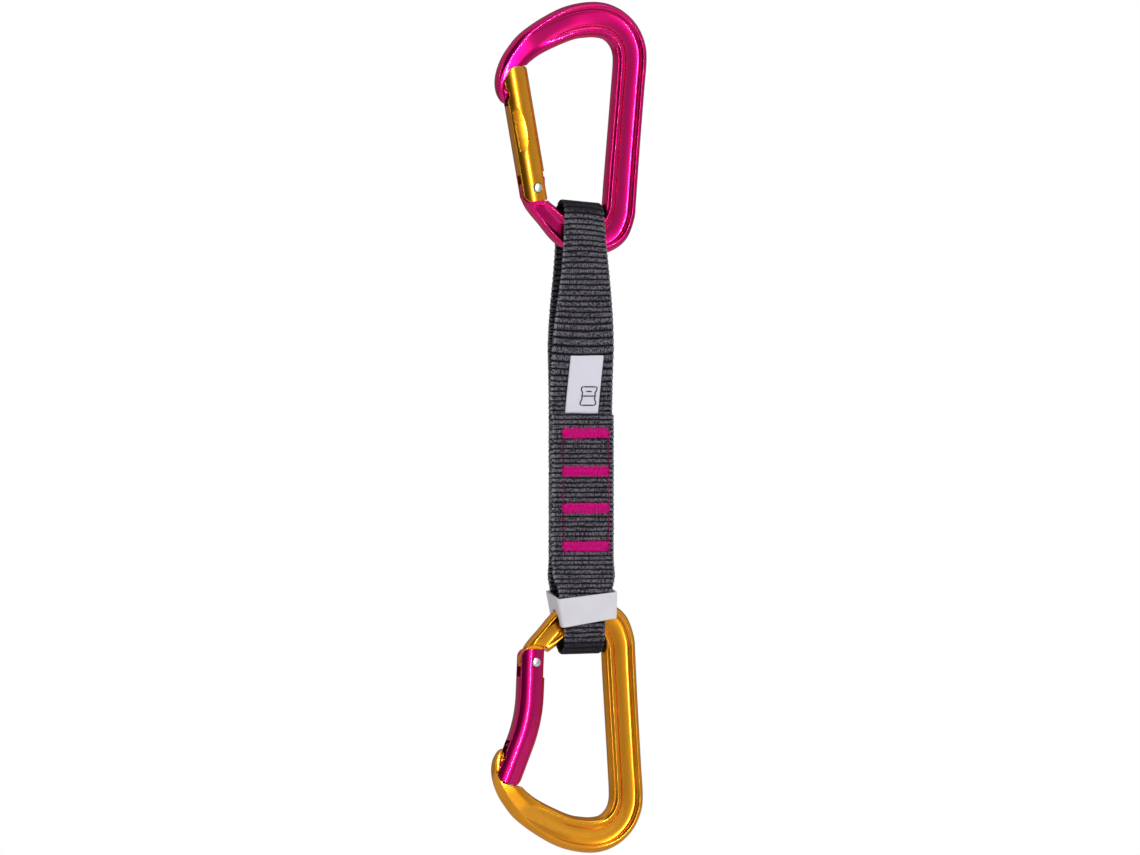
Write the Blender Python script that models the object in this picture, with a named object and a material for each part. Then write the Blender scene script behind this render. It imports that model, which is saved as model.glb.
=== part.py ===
"""Climbing quickdraw: a straight-gate and a bent-gate carabiner joined by a sewn webbing sling.

Lengths are millimetres until they reach a mesh, which is in metres. World axes: +Z up along the hanging
sling, +X from the gates towards the spines, +Y through the thickness. The origin is the point of the top
carabiner's inner crook that hangs on a bolt hanger.

A carabiner is drawn in its own (x, z) plane with that same point at (0, 0). The bottom carabiner is the
same forging turned over, so its drawing is mirrored in z.
"""

import math

import bmesh
import bpy
import numpy as np

MM = 0.001
GAP = 0.35  # clearance kept between neighbouring pieces
NOSE_GAP = 0.4  # between a shut gate and the nose

# ---- carabiner frame: one rib per row, outer edge (x, z), inner edge (x, z), half thickness, groove 0..1
FRAME_RIBS = [
    (-36.7, -26.8, -36.3, -26.1, 1.3, 0.0),  # tip of the nose lip
    (-38.3, -25.5, -36.7, -24.4, 2.1, 0.0),
    (-39.9, -22.3, -37.4, -21.8, 2.8, 0.0),
    (-40.4, -18.2, -36.9, -18.2, 3.4, 0.0),
    (-39.9, -14.0, -33.0, -14.6, 3.9, 0.0),
    (-38.3, -9.4, -28.6, -12.0, 4.1, 0.0),  # end of the arm, over the gate
    (-35.4, -4.7, -26.3, -10.0, 4.1, 0.0),
    (-30.5, 1.0, -22.2, -7.1, 4.1, 0.05),
    (-22.2, 6.9, -15.8, -3.9, 4.2, 0.55),
    (-12.6, 11.8, -8.2, -0.9, 4.4, 0.95),
    (-3.2, 14.0, -2.2, 0.0, 4.4, 1.0),  # seat on the hanger
    (5.2, 13.7, 1.4, 0.0, 4.4, 1.0),
    (12.6, 10.5, 4.6, -0.8, 4.4, 1.0),
    (18.3, 4.9, 7.0, -3.1, 4.4, 1.0),
    (21.5, -2.2, 8.2, -6.2, 4.4, 1.0),
    (22.1, -9.0, 8.4, -10.4, 4.4, 1.0),
    (21.2, -20.0, 7.6, -21.0, 4.4, 1.0),  # spine
    (19.4, -42.0, 5.8, -42.6, 4.4, 1.0),
    (18.2, -58.0, 4.5, -58.0, 4.4, 1.0),
    (17.7, -65.0, 4.1, -63.6, 4.4, 1.0),
    (16.9, -72.2, 3.6, -67.6, 4.4, 1.0),
    (13.4, -80.2, 2.0, -71.0, 4.4, 1.0),
    (6.6, -85.0, -0.8, -72.9, 4.4, 1.0),
    (-2.5, -86.3, -4.1, -73.3, 4.4, 1.0),  # basket that carries the webbing
    (-10.6, -84.8, -7.9, -72.3, 4.4, 1.0),
    (-17.0, -80.7, -11.8, -70.1, 4.4, 0.95),
    (-22.4, -74.5, -15.4, -67.2, 4.3, 0.55),
    (-27.4, -68.6, -18.7, -63.8, 4.3, 0.05),
    (-30.2, -63.4, -19.4, -61.0, 4.3, 0.0),  # cut back below to the hinge shoulder
]
RIB_STEPS = 2  # lofted sections between two ribs
# half section of the bar: fraction of the width from the inner edge, height for a plain bar and an I-beam
SECTION = [
    (0.00, 0.14, 0.14),
    (0.02, 0.48, 0.44),
    (0.07, 0.80, 0.76),
    (0.13, 0.96, 0.95),
    (0.19, 1.00, 1.00),
    (0.28, 1.00, 0.84),
    (0.38, 1.00, 0.59),
    (0.72, 1.00, 0.55),
    (0.79, 0.99, 0.74),
    (0.86, 0.95, 0.84),
    (0.94, 0.74, 0.66),
    (1.00, 0.16, 0.16),
]
NOSE_BALL = (-36.8, -23.5)
BALL_R = 2.35
TONGUE_HALF = 2.1  # the thin part of the nose that the gate closes over

# ---- gates: D section, drawn as (n, s): n towards the inside, s along the gate from the hinge
FLAT_N = -6.0
FLAT_HALF = 3.2
GATE_MIDDLE_N = -1.5  # where the gate is thickest
GATE_HALF = 4.4
GATE_FRONT = 6.2  # from there to the round front
GATE_SIDE_STEPS = 3
TAIL_S = -5.2
SHOULDER_R = 6.85
LUG_HALF = 2.1
TAIL_SLOT_HALF = 2.45
TAIL_SLOT_END = 6.0
NOSE_SLOT_HALF = 2.75
NOSE_SLOT_FLOOR = -0.8
CAM_R = 2.35
CAM_OFFSET = 3.2
CAM_ANGLE_DEG = 50.0
LUG_REACH = 3.5  # how far the lug comes towards the inside, which the gate's tail covers
RIVET_R = 1.6
RIVET_HOLE_R = 1.95
RIVET_HALF = 4.45
BORE_N = -0.65
BORE_R = 2.35
PLUNGER_TIP_S = 4.25
PLUNGER_R = 1.7
PLUNGER_COLLAR_R = 2.0
SPRING_WIRE_R = 0.32
SPRING_COIL_R = 1.6
SCALLOP_R = 75.0  # long facets milled into both sides of the straight gate
SCALLOP_REACH = 4.39  # from the hinge line to a facet's deepest point
SCALLOP_LEAN_DEG = 15.0

STRAIGHT = {
    "name": "top",
    "flip": 1.0,
    "hinge": (-24.0, -60.0),
    "tilt": 10.0,
    "bend": (13.0, 20.0, 0.0),
    "length": 48.6,
    "end_round": 1.3,
    "corner": None,
    "slot": 33.6,
    "ball": (-6.3, 38.2),
    "bore_end": 26.0,
    "scallop": 23.4,
}
BENT = {
    "name": "bottom",
    "flip": -1.0,
    "hinge": (-24.3, -61.2),
    "tilt": 1.1,
    "bend": (13.0, 20.0, 19.1),  # start and length along the gate, angle in degrees
    "length": 49.9,
    "end_round": 2.4,
    "corner": (3.4, 4.2),  # how wide and tall the nose's outer corner is rounded
    "slot": 33.4,
    "ball": (-6.6, 40.4),
    "bore_end": 24.0,
    "scallop": None,
}
BOTTOM_ORIGIN = (-1.8, -309.4)
BOTTOM_TILT_DEG = 1.3

# ---- sling: one strip of webbing, wide where it is sewn, narrow in both loops
WEB_T = 2.0
LAYER_PITCH = 2.1
STRAP_Y = 5.8  # middle of a strap beside a bar
BAR_Z = -79.9  # middle of the top carabiner's basket bar
BOTTOM_BAR_Z = BOTTOM_ORIGIN[1] - BAR_Z
SLING_X = -4.9
LOOP_W = 17.8  # beside the bars
CREST_W = 16.4  # where it passes inside a bar
CREST_X = -5.4
WIDE_W = 25.7
KEPT_W = 22.0  # inside the keeper
TOP_CREST_Z = -65.8  # middle of the webbing's thickness at the crest of the top loop
CREST_SLOPE = -0.085
LOOP_END_Z = -96.0
STACK_TOP_Z = -149.7
STACK_END_Z = -206.0
LOWER_LOOP_START_Z = -213.0
BOTTOM_CREST_Z = BOTTOM_ORIGIN[1] + 65.6
BARTACK_Z = (-157.0, -172.1, -186.8, -201.9)
BARTACK_W, BARTACK_H, BARTACK_T = 20.0, 4.8, 0.5
BARTACK_X = -3.8
SIDE_STITCH_X = (-13.3, 5.4)
LABEL_W, LABEL_T = 13.6, 0.5
LABEL_TOP_Z, LABEL_LOW_Z = -126.3, -149.0
LABEL_X, LABEL_TILT_DEG = -3.4, 4.5

# ---- rubber keeper: a band round the lower loop, with the carabiner's bar through holes in its sides
KEEPER_Z, KEEPER_H, KEEPER_D, KEEPER_WALL = -225.3, 11.0, 16.6, 0.9
KEEPER_TOP = (-17.4, 7.8)  # left and right sides at its upper and lower edge
KEEPER_LOW = (-15.2, 7.6)
KEEPER_RISE_LOW, KEEPER_RISE_TOP = 0.165, 0.115  # its edges climb towards the spine
KEEPER_RISE_Y = 0.2  # and towards the back
KEEPER_ROUND, KEEPER_ROUND_IN = 1.3, 0.6  # its corners, outside and inside
KEEPER_HOLE_HALF = 4.8
KEEPER_HOLE_TOP = (-227.3, -224.1)  # top of the hole at x = -20 and x = 10, over the bar

COLOURS = {
    "magenta_anodised": ((0.58, 0.0, 0.16), 0.25, 0.9),
    "gold_anodised": ((0.80, 0.32, 0.02), 0.25, 0.9),
    "steel": ((0.72, 0.72, 0.74), 0.3, 1.0),
    "webbing_grey": ((0.07, 0.065, 0.08), 0.9, 0.0),
    "thread_magenta": ((0.5, 0.0, 0.13), 0.8, 0.0),
    "label_white": ((0.8, 0.8, 0.84), 0.8, 0.0),
    "keeper_rubber": ((0.72, 0.71, 0.75), 0.5, 0.0),
}


# ---------------------------------------------------------------- Blender helpers
def clear_scene():
    for obj in list(bpy.data.objects):
        bpy.data.objects.remove(obj, do_unlink=True)


def material(name):
    colour, roughness, metallic = COLOURS[name]
    mat = bpy.data.materials.get(name) or bpy.data.materials.new(name)
    mat.use_nodes = True
    shader = mat.node_tree.nodes["Principled BSDF"]
    shader.inputs["Base Color"].default_value = (*colour, 1.0)
    shader.inputs["Roughness"].default_value = roughness
    shader.inputs["Metallic"].default_value = metallic
    return mat


def empty(name, location=(0.0, 0.0, 0.0), tilt_deg=0.0, parent=None):
    obj = bpy.data.objects.new(name, None)
    bpy.context.collection.objects.link(obj)
    obj.location = [v * MM for v in location]
    obj.rotation_euler[1] = math.radians(tilt_deg)
    obj.parent = parent
    return obj


def mesh_object(name, verts, faces, mat=None, parent=None):
    """One closed mesh from points in millimetres, its faces turned outwards."""
    mesh = bpy.data.meshes.new(name)
    mesh.from_pydata([[c * MM for c in v] for v in verts], [], faces)
    bm = bmesh.new()
    bm.from_mesh(mesh)
    bmesh.ops.recalc_face_normals(bm, faces=bm.faces)
    bmesh.ops.triangulate(bm, faces=[f for f in bm.faces if len(f.verts) > 4])
    bm.to_mesh(mesh)
    bm.free()
    obj = bpy.data.objects.new(name, mesh)
    bpy.context.collection.objects.link(obj)
    obj.parent = parent
    if mat:
        mesh.materials.append(material(mat))
        mesh.shade_smooth()
        mesh.set_sharp_from_angle(angle=math.radians(35))
    return obj


def loft(loops):
    """Vertices and faces of a tube through closed loops of equal length, capped at both ends."""
    count = len(loops[0])
    verts = [p for loop in loops for p in loop]
    faces = []
    for row in range(len(loops) - 1):
        base = row * count
        for i in range(count):
            j = (i + 1) % count
            faces.append((base + i, base + j, base + count + j, base + count + i))
    faces.append(tuple(range(count)))
    faces.append(tuple(range(len(verts) - count, len(verts))))
    return verts, faces


def prism(outline, half, flip=1.0):
    """An (x, z) outline extruded through the thickness, from -half to +half in y."""
    return loft([[(x, y, z * flip) for x, z in outline] for y in (-half, half)])


def turned(profile, sides=24):
    """A solid turned about its own z axis from (radius, z) points, which start and end on the axis."""
    loops = profile[1:-1]
    verts = [(0.0, 0.0, profile[0][1])]
    for radius, z in loops:
        for k in range(sides):
            a = 2 * math.pi * k / sides
            verts.append((radius * math.cos(a), radius * math.sin(a), z))
    verts.append((0.0, 0.0, profile[-1][1]))
    last = len(verts) - 1
    faces = []
    for k in range(sides):
        j = (k + 1) % sides
        faces.append((0, 1 + j, 1 + k))
        for row in range(len(loops) - 1):
            a = 1 + row * sides
            faces.append((a + k, a + j, a + sides + j, a + sides + k))
        top = 1 + (len(loops) - 1) * sides
        faces.append((last, top + k, top + j))
    return verts, faces


def cylinder(radius, start, end, sides=32):
    """A cylinder along z from start to end."""
    return turned([(0.0, start), (radius, start), (radius, end), (0.0, end)], sides)


def boolean(target, operation, verts, faces, place=None):
    """Adds a Boolean by a hidden guide with the given mesh, which sits in the target's own space."""
    guide = mesh_object(f"guide_{target.name}_{len(target.modifiers)}", verts, faces)
    guide.hide_render = True
    guide.display_type = "WIRE"
    guide.parent = place or target
    mod = target.modifiers.new(f"{operation.lower()}_{len(target.modifiers)}", "BOOLEAN")
    mod.operation = operation
    mod.solver = "EXACT"
    mod.object = guide
    return guide


def along_y(verts):
    """Turns points drawn about z so that they lie about y."""
    return [(x, z, -y) for x, y, z in verts]


def moved(verts, dx=0.0, dy=0.0, dz=0.0):
    return [(x + dx, y + dy, z + dz) for x, y, z in verts]


def spline(rows, steps):
    """Catmull-Rom curve through the rows, with that many intervals between two of them."""
    p = np.array(rows, float)
    p = np.vstack([2 * p[0] - p[1], p, 2 * p[-1] - p[-2]])
    out = []
    for i in range(1, len(p) - 2):
        for k in range(steps):
            t = k / steps
            a, b, c, d = p[i - 1], p[i], p[i + 1], p[i + 2]
            square, cube = 2 * a - 5 * b + 4 * c - d, 3 * b - a - 3 * c + d
            out.append(0.5 * (2 * b + (c - a) * t + square * t**2 + cube * t**3))
    out.append(p[-2])
    return out


def arc(cx, cz, radius, start_deg, end_deg, steps):
    angles = [math.radians(start_deg + (end_deg - start_deg) * k / steps) for k in range(steps + 1)]
    return [(cx + radius * math.cos(a), cz + radius * math.sin(a)) for a in angles]


def smooth(t):
    t = min(max(t, 0.0), 1.0)
    return t * t * (3 - 2 * t)


def mix(a, b, t):
    return a + (b - a) * t


# ---------------------------------------------------------------- gate geometry
def gate_path(gate, s):
    """The gate's spine at s: (n, s) of the point, and how far it has turned, in radians."""
    start, length, degrees = gate["bend"]
    turn = math.radians(degrees)
    if s <= start or turn == 0.0:
        return 0.0, s, 0.0
    radius = length / turn
    angle = min((s - start) / radius, turn)
    rest = max(s - start - length, 0.0)
    n = -radius * (1 - math.cos(angle)) - rest * math.sin(angle)
    along = start + radius * math.sin(angle) + rest * math.cos(angle)
    return n, along, angle


def gate_point(gate, n, s):
    """A point of the gate in the gate object's own (x, z), before it is mirrored."""
    pn, ps, angle = gate_path(gate, s)
    return pn + n * math.cos(angle), ps + n * math.sin(angle)


def end_arc(gate, radius, start, stop, steps):
    """Arc about the hinge past the gate's nose end; its ends are degrees from the gate's own end."""
    x, z = gate_point(gate, 0.0, gate["length"])
    middle = math.degrees(math.atan2(z, x))
    return arc(0, 0, radius, middle + start, middle + stop, steps)


def corner_arc(gate, gap):
    """The rounded outer corner of the gate's nose, gap outside it, from the end round to the flat."""
    wide, tall = gate["corner"]
    quarter = arc(0, 0, 1, 85, 180, 5)
    return [(FLAT_N + wide + (wide + gap) * x, gate["length"] - tall + (tall + gap) * s) for x, s in quarter]


def end_radius(gate):
    return math.hypot(*gate_point(gate, 0.0, gate["length"]))


def to_frame(gate, point):
    """A point of the gate in the carabiner's (x, z), with the gate shut."""
    x, z = point
    a = math.radians(gate["tilt"])
    hx, hz = gate["hinge"]
    return hx + x * math.cos(a) - z * math.sin(a), hz + x * math.sin(a) + z * math.cos(a)


def gate_section():
    """The D section as (n, y): a flat on the outside, round towards the inside of the carabiner."""
    points = []
    for k in range(GATE_SIDE_STEPS):
        t = 1 - k / GATE_SIDE_STEPS
        points.append((mix(GATE_MIDDLE_N, FLAT_N, t), -mix(GATE_HALF, FLAT_HALF, t * t)))
    points += [(GATE_MIDDLE_N + GATE_FRONT * x, GATE_HALF * y) for x, y in arc(0, 0, 1, -90, 90, 12)]
    points += [(n, -y) for n, y in reversed(points[:GATE_SIDE_STEPS])]
    return points


def gate_end_outline(gate):
    """The gate seen from the side: it trims the lofted bar to its rounded tail and its bevelled nose."""
    length, radius = gate["length"], gate["end_round"]
    front = GATE_MIDDLE_N + GATE_FRONT
    left, right = FLAT_N - 1.0, front + 1.0
    outline = arc(FLAT_N + 3.5, TAIL_S + 3.5, 3.5, 180, 270, 5)
    outline += arc(3.4, TAIL_S + 1.3, 1.3, 270, 360, 3)
    outline.append((right, TAIL_S + 2.6))
    steps = [2.0, 8.0, 13.0, 16.0, 19.0, 22.0, 25.0, 28.0, 31.0, 33.0, 38.0]
    outline += [(right, s) for s in steps]
    outline.append((right, length - 2.5 * radius))
    outline.append((front, length - 1.5 * radius))
    outline.append((front - 0.4 * radius, length - 0.6 * radius))
    low = corner_arc(gate, 0.0) if gate["corner"] else [(left, length - 6.2)]
    low += [(left, s) for s in reversed(steps)]
    low.append((left, TAIL_S + 4.6))
    nose = end_arc(gate, end_radius(gate), -3.6, 2.6 if gate["corner"] else 3.4, 5)
    return [gate_point(gate, n, s) for n, s in outline] + nose + [gate_point(gate, n, s) for n, s in low]


def make_gate(gate, mat, frame_empty):
    flip = gate["flip"]
    hx, hz = gate["hinge"]
    name = gate["name"] + "_gate"
    pivot = empty(name + "_pivot", (hx, 0, hz * flip), -gate["tilt"] * flip, frame_empty)
    stations = [TAIL_S - 1.0, 4.0, 10.0, 13.0, 16.3, 19.7, 23.0, 26.3, 29.7, 33.0, 42.0, gate["length"] + 1.0]
    loops = []
    for s in stations:
        points = [(gate_point(gate, n, s), y) for n, y in gate_section()]
        loops.append([(x, y, z * flip) for (x, z), y in points])
    body = mesh_object(name, *loft(loops), mat, pivot)
    boolean(body, "INTERSECT", *prism(gate_end_outline(gate), 6.0, flip))
    tail_slot = [(-9, TAIL_S - 2), (7, TAIL_S - 2), (7, TAIL_SLOT_END), (-9, TAIL_SLOT_END)]
    boolean(body, "DIFFERENCE", *prism(tail_slot, TAIL_SLOT_HALF, flip))
    ends = (gate["slot"], gate["length"] + 3)
    slot = [(-9, ends[0]), (NOSE_SLOT_FLOOR, ends[0] + 1.5), (NOSE_SLOT_FLOOR, ends[1]), (-9, ends[1])]
    slot = [gate_point(gate, n, s) for n, s in slot]
    boolean(body, "DIFFERENCE", *prism(slot, NOSE_SLOT_HALF, flip))
    ball_n, ball_s = gate["ball"]
    bx, bz = gate_point(gate, ball_n - 1.6, ball_s)
    verts, faces = cylinder(2.9, -6, 6)
    boolean(body, "DIFFERENCE", moved(along_y(verts), bx, 0, bz * flip), faces)
    verts, faces = cylinder(BORE_R, TAIL_SLOT_END - 1, gate["bore_end"], 16)
    boolean(body, "DIFFERENCE", [(x + BORE_N, y, z * flip) for x, y, z in verts], faces)
    verts, faces = cylinder(RIVET_HOLE_R, -6, 6, 24)
    boolean(body, "DIFFERENCE", along_y(verts), faces)
    if gate["scallop"]:
        cut_scallops(body, gate["scallop"])
    make_spring_and_plunger(gate, pivot)
    return body


def cut_scallops(body, middle):
    """Long shallow facets between the flat and both sides of the straight gate."""
    outline = arc(0, 0, SCALLOP_R, -14, 14, 12) + [(SCALLOP_R - 9, 14.0), (SCALLOP_R - 9, -14.0)]
    centre = SCALLOP_REACH + SCALLOP_R
    for side in (-1, 1):
        verts, faces = loft([[(n, centre - r, middle + z) for r, z in outline] for n in (-9.0, 9.0)])
        lean = math.radians(SCALLOP_LEAN_DEG)
        turned_in = [(x * math.cos(lean) - y * math.sin(lean), y * math.cos(lean) + x * math.sin(lean), z)
                     for x, y, z in verts]
        boolean(body, "DIFFERENCE", [(x, side * y, z) for x, y, z in turned_in], faces)


def make_spring_and_plunger(gate, pivot):
    flip, side = gate["flip"], gate["name"]
    tip, collar = PLUNGER_TIP_S, TAIL_SLOT_END + 1.6
    profile = [(0, tip), (PLUNGER_R - 0.3, tip), (PLUNGER_R, tip + 0.3), (PLUNGER_R, collar)]
    profile += [(PLUNGER_COLLAR_R, collar), (PLUNGER_COLLAR_R, collar + 1.2)]
    profile += [(1.0, collar + 1.2), (1.0, collar + 4.0), (0, collar + 4.0)]
    verts, faces = turned(profile, 20)
    mesh_object(side + "_plunger", [(x + BORE_N, y, z * flip) for x, y, z in verts], faces, "steel", pivot)
    start, end = collar + 1.2 + GAP + SPRING_WIRE_R, gate["bore_end"] - GAP - SPRING_WIRE_R
    turns, per_turn, sides = 8, 12, 6
    loops = []
    for k in range(turns * per_turn + 1):
        a = 2 * math.pi * k / per_turn
        z = mix(start, end, k / (turns * per_turn))
        loop = []
        for i in range(sides):
            b = 2 * math.pi * i / sides
            r = SPRING_COIL_R + SPRING_WIRE_R * math.cos(b)
            loop.append((r * math.cos(a) + BORE_N, r * math.sin(a), (z + SPRING_WIRE_R * math.sin(b)) * flip))
        loops.append(loop)
    mesh_object(side + "_spring", *loft(loops), "steel", pivot)


# ---------------------------------------------------------------- carabiner frame
def frame_section(width, half, groove):
    """The bar's section as (u, y): u from the inner edge outwards."""
    near = [(u * width, half * mix(plain, beam, groove)) for u, plain, beam in SECTION]
    return near + [(u, -y) for u, y in reversed(near)]


def frame_loops(flip):
    loops = []
    for xo, zo, xi, zi, half, groove in spline(FRAME_RIBS, RIB_STEPS):
        width = math.hypot(xo - xi, zo - zi)
        loop = []
        for u, y in frame_section(width, half, min(max(groove, 0.0), 1.0)):
            loop.append((mix(xi, xo, u / width), y, mix(zi, zo, u / width) * flip))
        loops.append(loop)
    return loops


def lug_outline(gate):
    """The thin hinge lug inside the gate's tail: an eye, a cam corner for the plunger and an outer cheek."""
    hx, hz = gate["hinge"]
    a = math.radians(90 + gate["tilt"] - CAM_ANGLE_DEG)
    cam_x, cam_z = CAM_OFFSET * math.cos(a), CAM_OFFSET * math.sin(a)
    flat_deg = math.degrees(math.acos((LUG_REACH - cam_x) / CAM_R))
    points = [(-5.7, 1.8), (-6.1, 0.4), (-6.1, -1.8), (-5.0, -4.8)]
    points += [(-2.6, -7.6), (1.0, -7.6), (LUG_REACH, -6.6), (LUG_REACH, -3.0)]
    points += arc(cam_x, cam_z, CAM_R, flat_deg, 130, 6)
    points += arc(0, 0, 3.85, 95, 125, 3)
    return [(hx + x, hz + z) for x, z in points]


def tongue_outline(gate):
    """The thin nose plate: its left side lies inside the lip, its right side inside the gate's slot."""
    length, ball_s = gate["length"], gate["ball"][1]
    right = [(-4.0, ball_s), (-2.3, ball_s + 5), (-2.0, length + 1.5)]
    left = [(-36.0, -9.6), (-38.0, -14.0), (-38.7, -18.0), (-38.3, -22.0)]
    return [to_frame(gate, gate_point(gate, n, s)) for n, s in right] + left


def make_frame(gate, mat, frame_empty):
    flip, side = gate["flip"], gate["name"]
    hx, hz = gate["hinge"]
    length = gate["length"]
    body = mesh_object(side + "_frame", *loft(frame_loops(flip)), mat, frame_empty)
    side_n = FLAT_N - NOSE_GAP
    corners = [(9, length - 19), (side_n, length - 19)]
    corners += corner_arc(gate, NOSE_GAP)[::-1] if gate["corner"] else [(side_n, length - 4.9)]
    window = [gate_point(gate, n, s) for n, s in corners]
    window += end_arc(gate, end_radius(gate) + NOSE_GAP, 3.0 if gate["corner"] else 3.6, -12.0, 8)
    window = [to_frame(gate, point) for point in window]
    boolean(body, "DIFFERENCE", *prism(window, 8.0, flip))
    verts, faces = cylinder(SHOULDER_R, -8, 8, 48)
    boolean(body, "DIFFERENCE", moved(along_y(verts), hx, 0, hz * flip), faces)
    boolean(body, "UNION", *prism(lug_outline(gate), LUG_HALF, flip))
    boolean(body, "UNION", *prism(tongue_outline(gate), TONGUE_HALF, flip))
    turns = [math.radians(a) for a in range(180, -1, -20)]
    profile = [(BALL_R * math.sin(a), BALL_R * math.cos(a)) for a in turns]
    verts, faces = turned(profile, 18)
    boolean(body, "UNION", moved(verts, NOSE_BALL[0], 0, NOSE_BALL[1] * flip), faces)
    verts, faces = cylinder(RIVET_HOLE_R, -6, 6, 24)
    boolean(body, "DIFFERENCE", moved(along_y(verts), hx, 0, hz * flip), faces)
    dome = [(0, -RIVET_HALF), (1.1, -RIVET_HALF + 0.12), (RIVET_R, -RIVET_HALF + 0.5)]
    profile = dome + [(r, -y) for r, y in reversed(dome)]
    verts, faces = turned(profile, 20)
    mesh_object(side + "_rivet", moved(along_y(verts), hx, 0, hz * flip), faces, "steel", frame_empty)
    return body


# ---------------------------------------------------------------- sling
def sling_width(z):
    """Width of the webbing at a height: narrow loops, wide where it is sewn, squeezed in the keeper."""
    if z > -180.0:
        return mix(LOOP_W, WIDE_W, smooth((-77.0 - z) / 50.0))
    kept = mix(LOOP_W, KEPT_W, smooth((z - KEEPER_Z + 5.0) / 10.0))
    return mix(kept, WIDE_W, smooth((z - KEEPER_Z - 4.0) / 9.0))


def strap_y(z, layer):
    """Middle of a strap's thickness: -1 is the front strap, 1 the back one."""
    upper = z > -180.0
    if upper:
        t = smooth((z - STACK_TOP_Z) / (BAR_Z - 8.0 - STACK_TOP_Z))
        sewn = 0.0 if layer < 0 else LAYER_PITCH
    else:
        t = smooth((STACK_END_Z - z) / (STACK_END_Z - BOTTOM_BAR_Z - 8.0))
        sewn = layer * LAYER_PITCH
    return mix(sewn, layer * STRAP_Y, t)


def strip(stations):
    """A strip of webbing through (x, y, z, normal y, normal z, width, slope) stations."""
    loops = []
    for x, y, z, ny, nz, width, slope in stations:
        loop = []
        for side, face in ((-1, -1), (1, -1), (1, 1), (-1, 1)):
            px = side * width / 2
            loop.append((x + px, y + face * ny * WEB_T / 2, z + face * nz * WEB_T / 2 + slope * px))
        loops.append(loop)
    return loft(loops)


def strap(start_z, end_z, layer, steps):
    stations = []
    for k in range(steps + 1):
        z = mix(start_z, end_z, k / steps)
        stations.append((SLING_X, strap_y(z, layer), z, -1.0, 0.0, sling_width(z), 0.0))
    return strip(stations)


def loop_stations(crest_z, end_z, up, width, slope):
    """Stations of a loop over a bar: up the front, over the crest and down the back."""
    height = 5.0
    spring_z = crest_z - up * height
    straight = [(-STRAP_Y, mix(end_z, spring_z, k / 4), -1.0, 0.0) for k in range(4)]
    top = []
    for k in range(13):
        a = math.pi * k / 12
        y, z = -STRAP_Y * math.cos(a), height * math.sin(a)
        ny, nz = -math.cos(a) / STRAP_Y, math.sin(a) / height
        size = math.hypot(ny, nz)
        top.append((y, spring_z + up * z, ny / size, up * nz / size))
    back = [(-y, z, -ny, nz) for y, z, ny, nz in reversed(straight)]
    stations = []
    for y, z, ny, nz in straight + top + back:
        t = smooth(abs(z - end_z) / abs(crest_z - end_z))
        if abs(z - end_z) < 14.0:
            y = mix(strap_y(z, -1 if y < 0 else 1), y, smooth(abs(z - end_z) / 14.0))
        w = mix(sling_width(z), width, t * t)
        stations.append((mix(SLING_X, CREST_X, t), y, z, ny, nz, w, slope * t))
    return stations


def make_sling():
    web = "webbing_grey"
    body = mesh_object("webbing", *strap(LOOP_END_Z, STACK_TOP_Z - 3, -1, 7), web)
    boolean(body, "UNION", *strap(LOOP_END_Z, STACK_TOP_Z - 3, 1, 7))
    half = LAYER_PITCH + WEB_T / 2
    stack = [(-half, STACK_TOP_Z), (-half, STACK_END_Z), (half, STACK_END_Z), (half, STACK_TOP_Z)]
    left, right = SLING_X - WIDE_W / 2 - 0.05, SLING_X + WIDE_W / 2 + 0.05
    boolean(body, "UNION", *loft([[(x, y, z) for y, z in stack] for x in (left, right)]))
    for layer in (-1, 1):
        boolean(body, "UNION", *strap(STACK_END_Z + 3, LOWER_LOOP_START_Z, layer, 3))
    top = loop_stations(TOP_CREST_Z, LOOP_END_Z + GAP, 1, CREST_W, CREST_SLOPE)
    mesh_object("webbing_top_loop", *strip(top), web)
    low = loop_stations(BOTTOM_CREST_Z, LOWER_LOOP_START_Z - GAP, -1, CREST_W, 0.02)
    mesh_object("webbing_bottom_loop", *strip(low), web)


def block(name, x, y, z, width, depth, height, mat):
    """A flat patch of stitching with clipped corners, centred on (x, y, z)."""
    c = min(width, height) * 0.2
    w, h = width / 2, height / 2
    outline = [(-w + c, -h), (w - c, -h), (w, -h + c), (w, h - c)]
    outline += [(-x, -z) for x, z in outline]
    verts, faces = prism(outline, depth / 2)
    return mesh_object(name, moved(verts, x, y, z), faces, mat)


def make_stitching():
    face = LAYER_PITCH + WEB_T / 2 + GAP + BARTACK_T / 2
    for side, sign in (("front", -1), ("back", 1)):
        for number, z in enumerate(BARTACK_Z, 1):
            name = f"bartack_{side}_{number}"
            block(name, BARTACK_X, sign * face, z, BARTACK_W, BARTACK_T, BARTACK_H, "thread_magenta")
        for end, x in zip(("left", "right"), SIDE_STITCH_X):
            low, high = BARTACK_Z[3] - BARTACK_H / 2, BARTACK_Z[0] + BARTACK_H / 2
            y = sign * (face + BARTACK_T + GAP)
            block(f"side_stitch_{side}_{end}", x, y, (low + high) / 2, 0.8, 0.4, high - low, "thread_magenta")


def make_label():
    """The woven label lies on the upper front strap and ends just above the sewn end of the strip."""
    steps = 6
    lean = math.tan(math.radians(LABEL_TILT_DEG))
    loops = []
    for k in range(steps + 1):
        z = mix(LABEL_TOP_Z, LABEL_LOW_Z - 0.3, k / steps)
        y = strap_y(z, -1) - WEB_T / 2 - GAP - LABEL_T / 2
        x = LABEL_X + (z - LABEL_TOP_Z) * lean
        corners = ((-1, -1), (1, -1), (1, 1), (-1, 1))
        loops.append([(x + a * LABEL_W / 2, y + b * LABEL_T / 2, z) for a, b in corners])
    return mesh_object("label", *loft(loops), "label_white")


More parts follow.
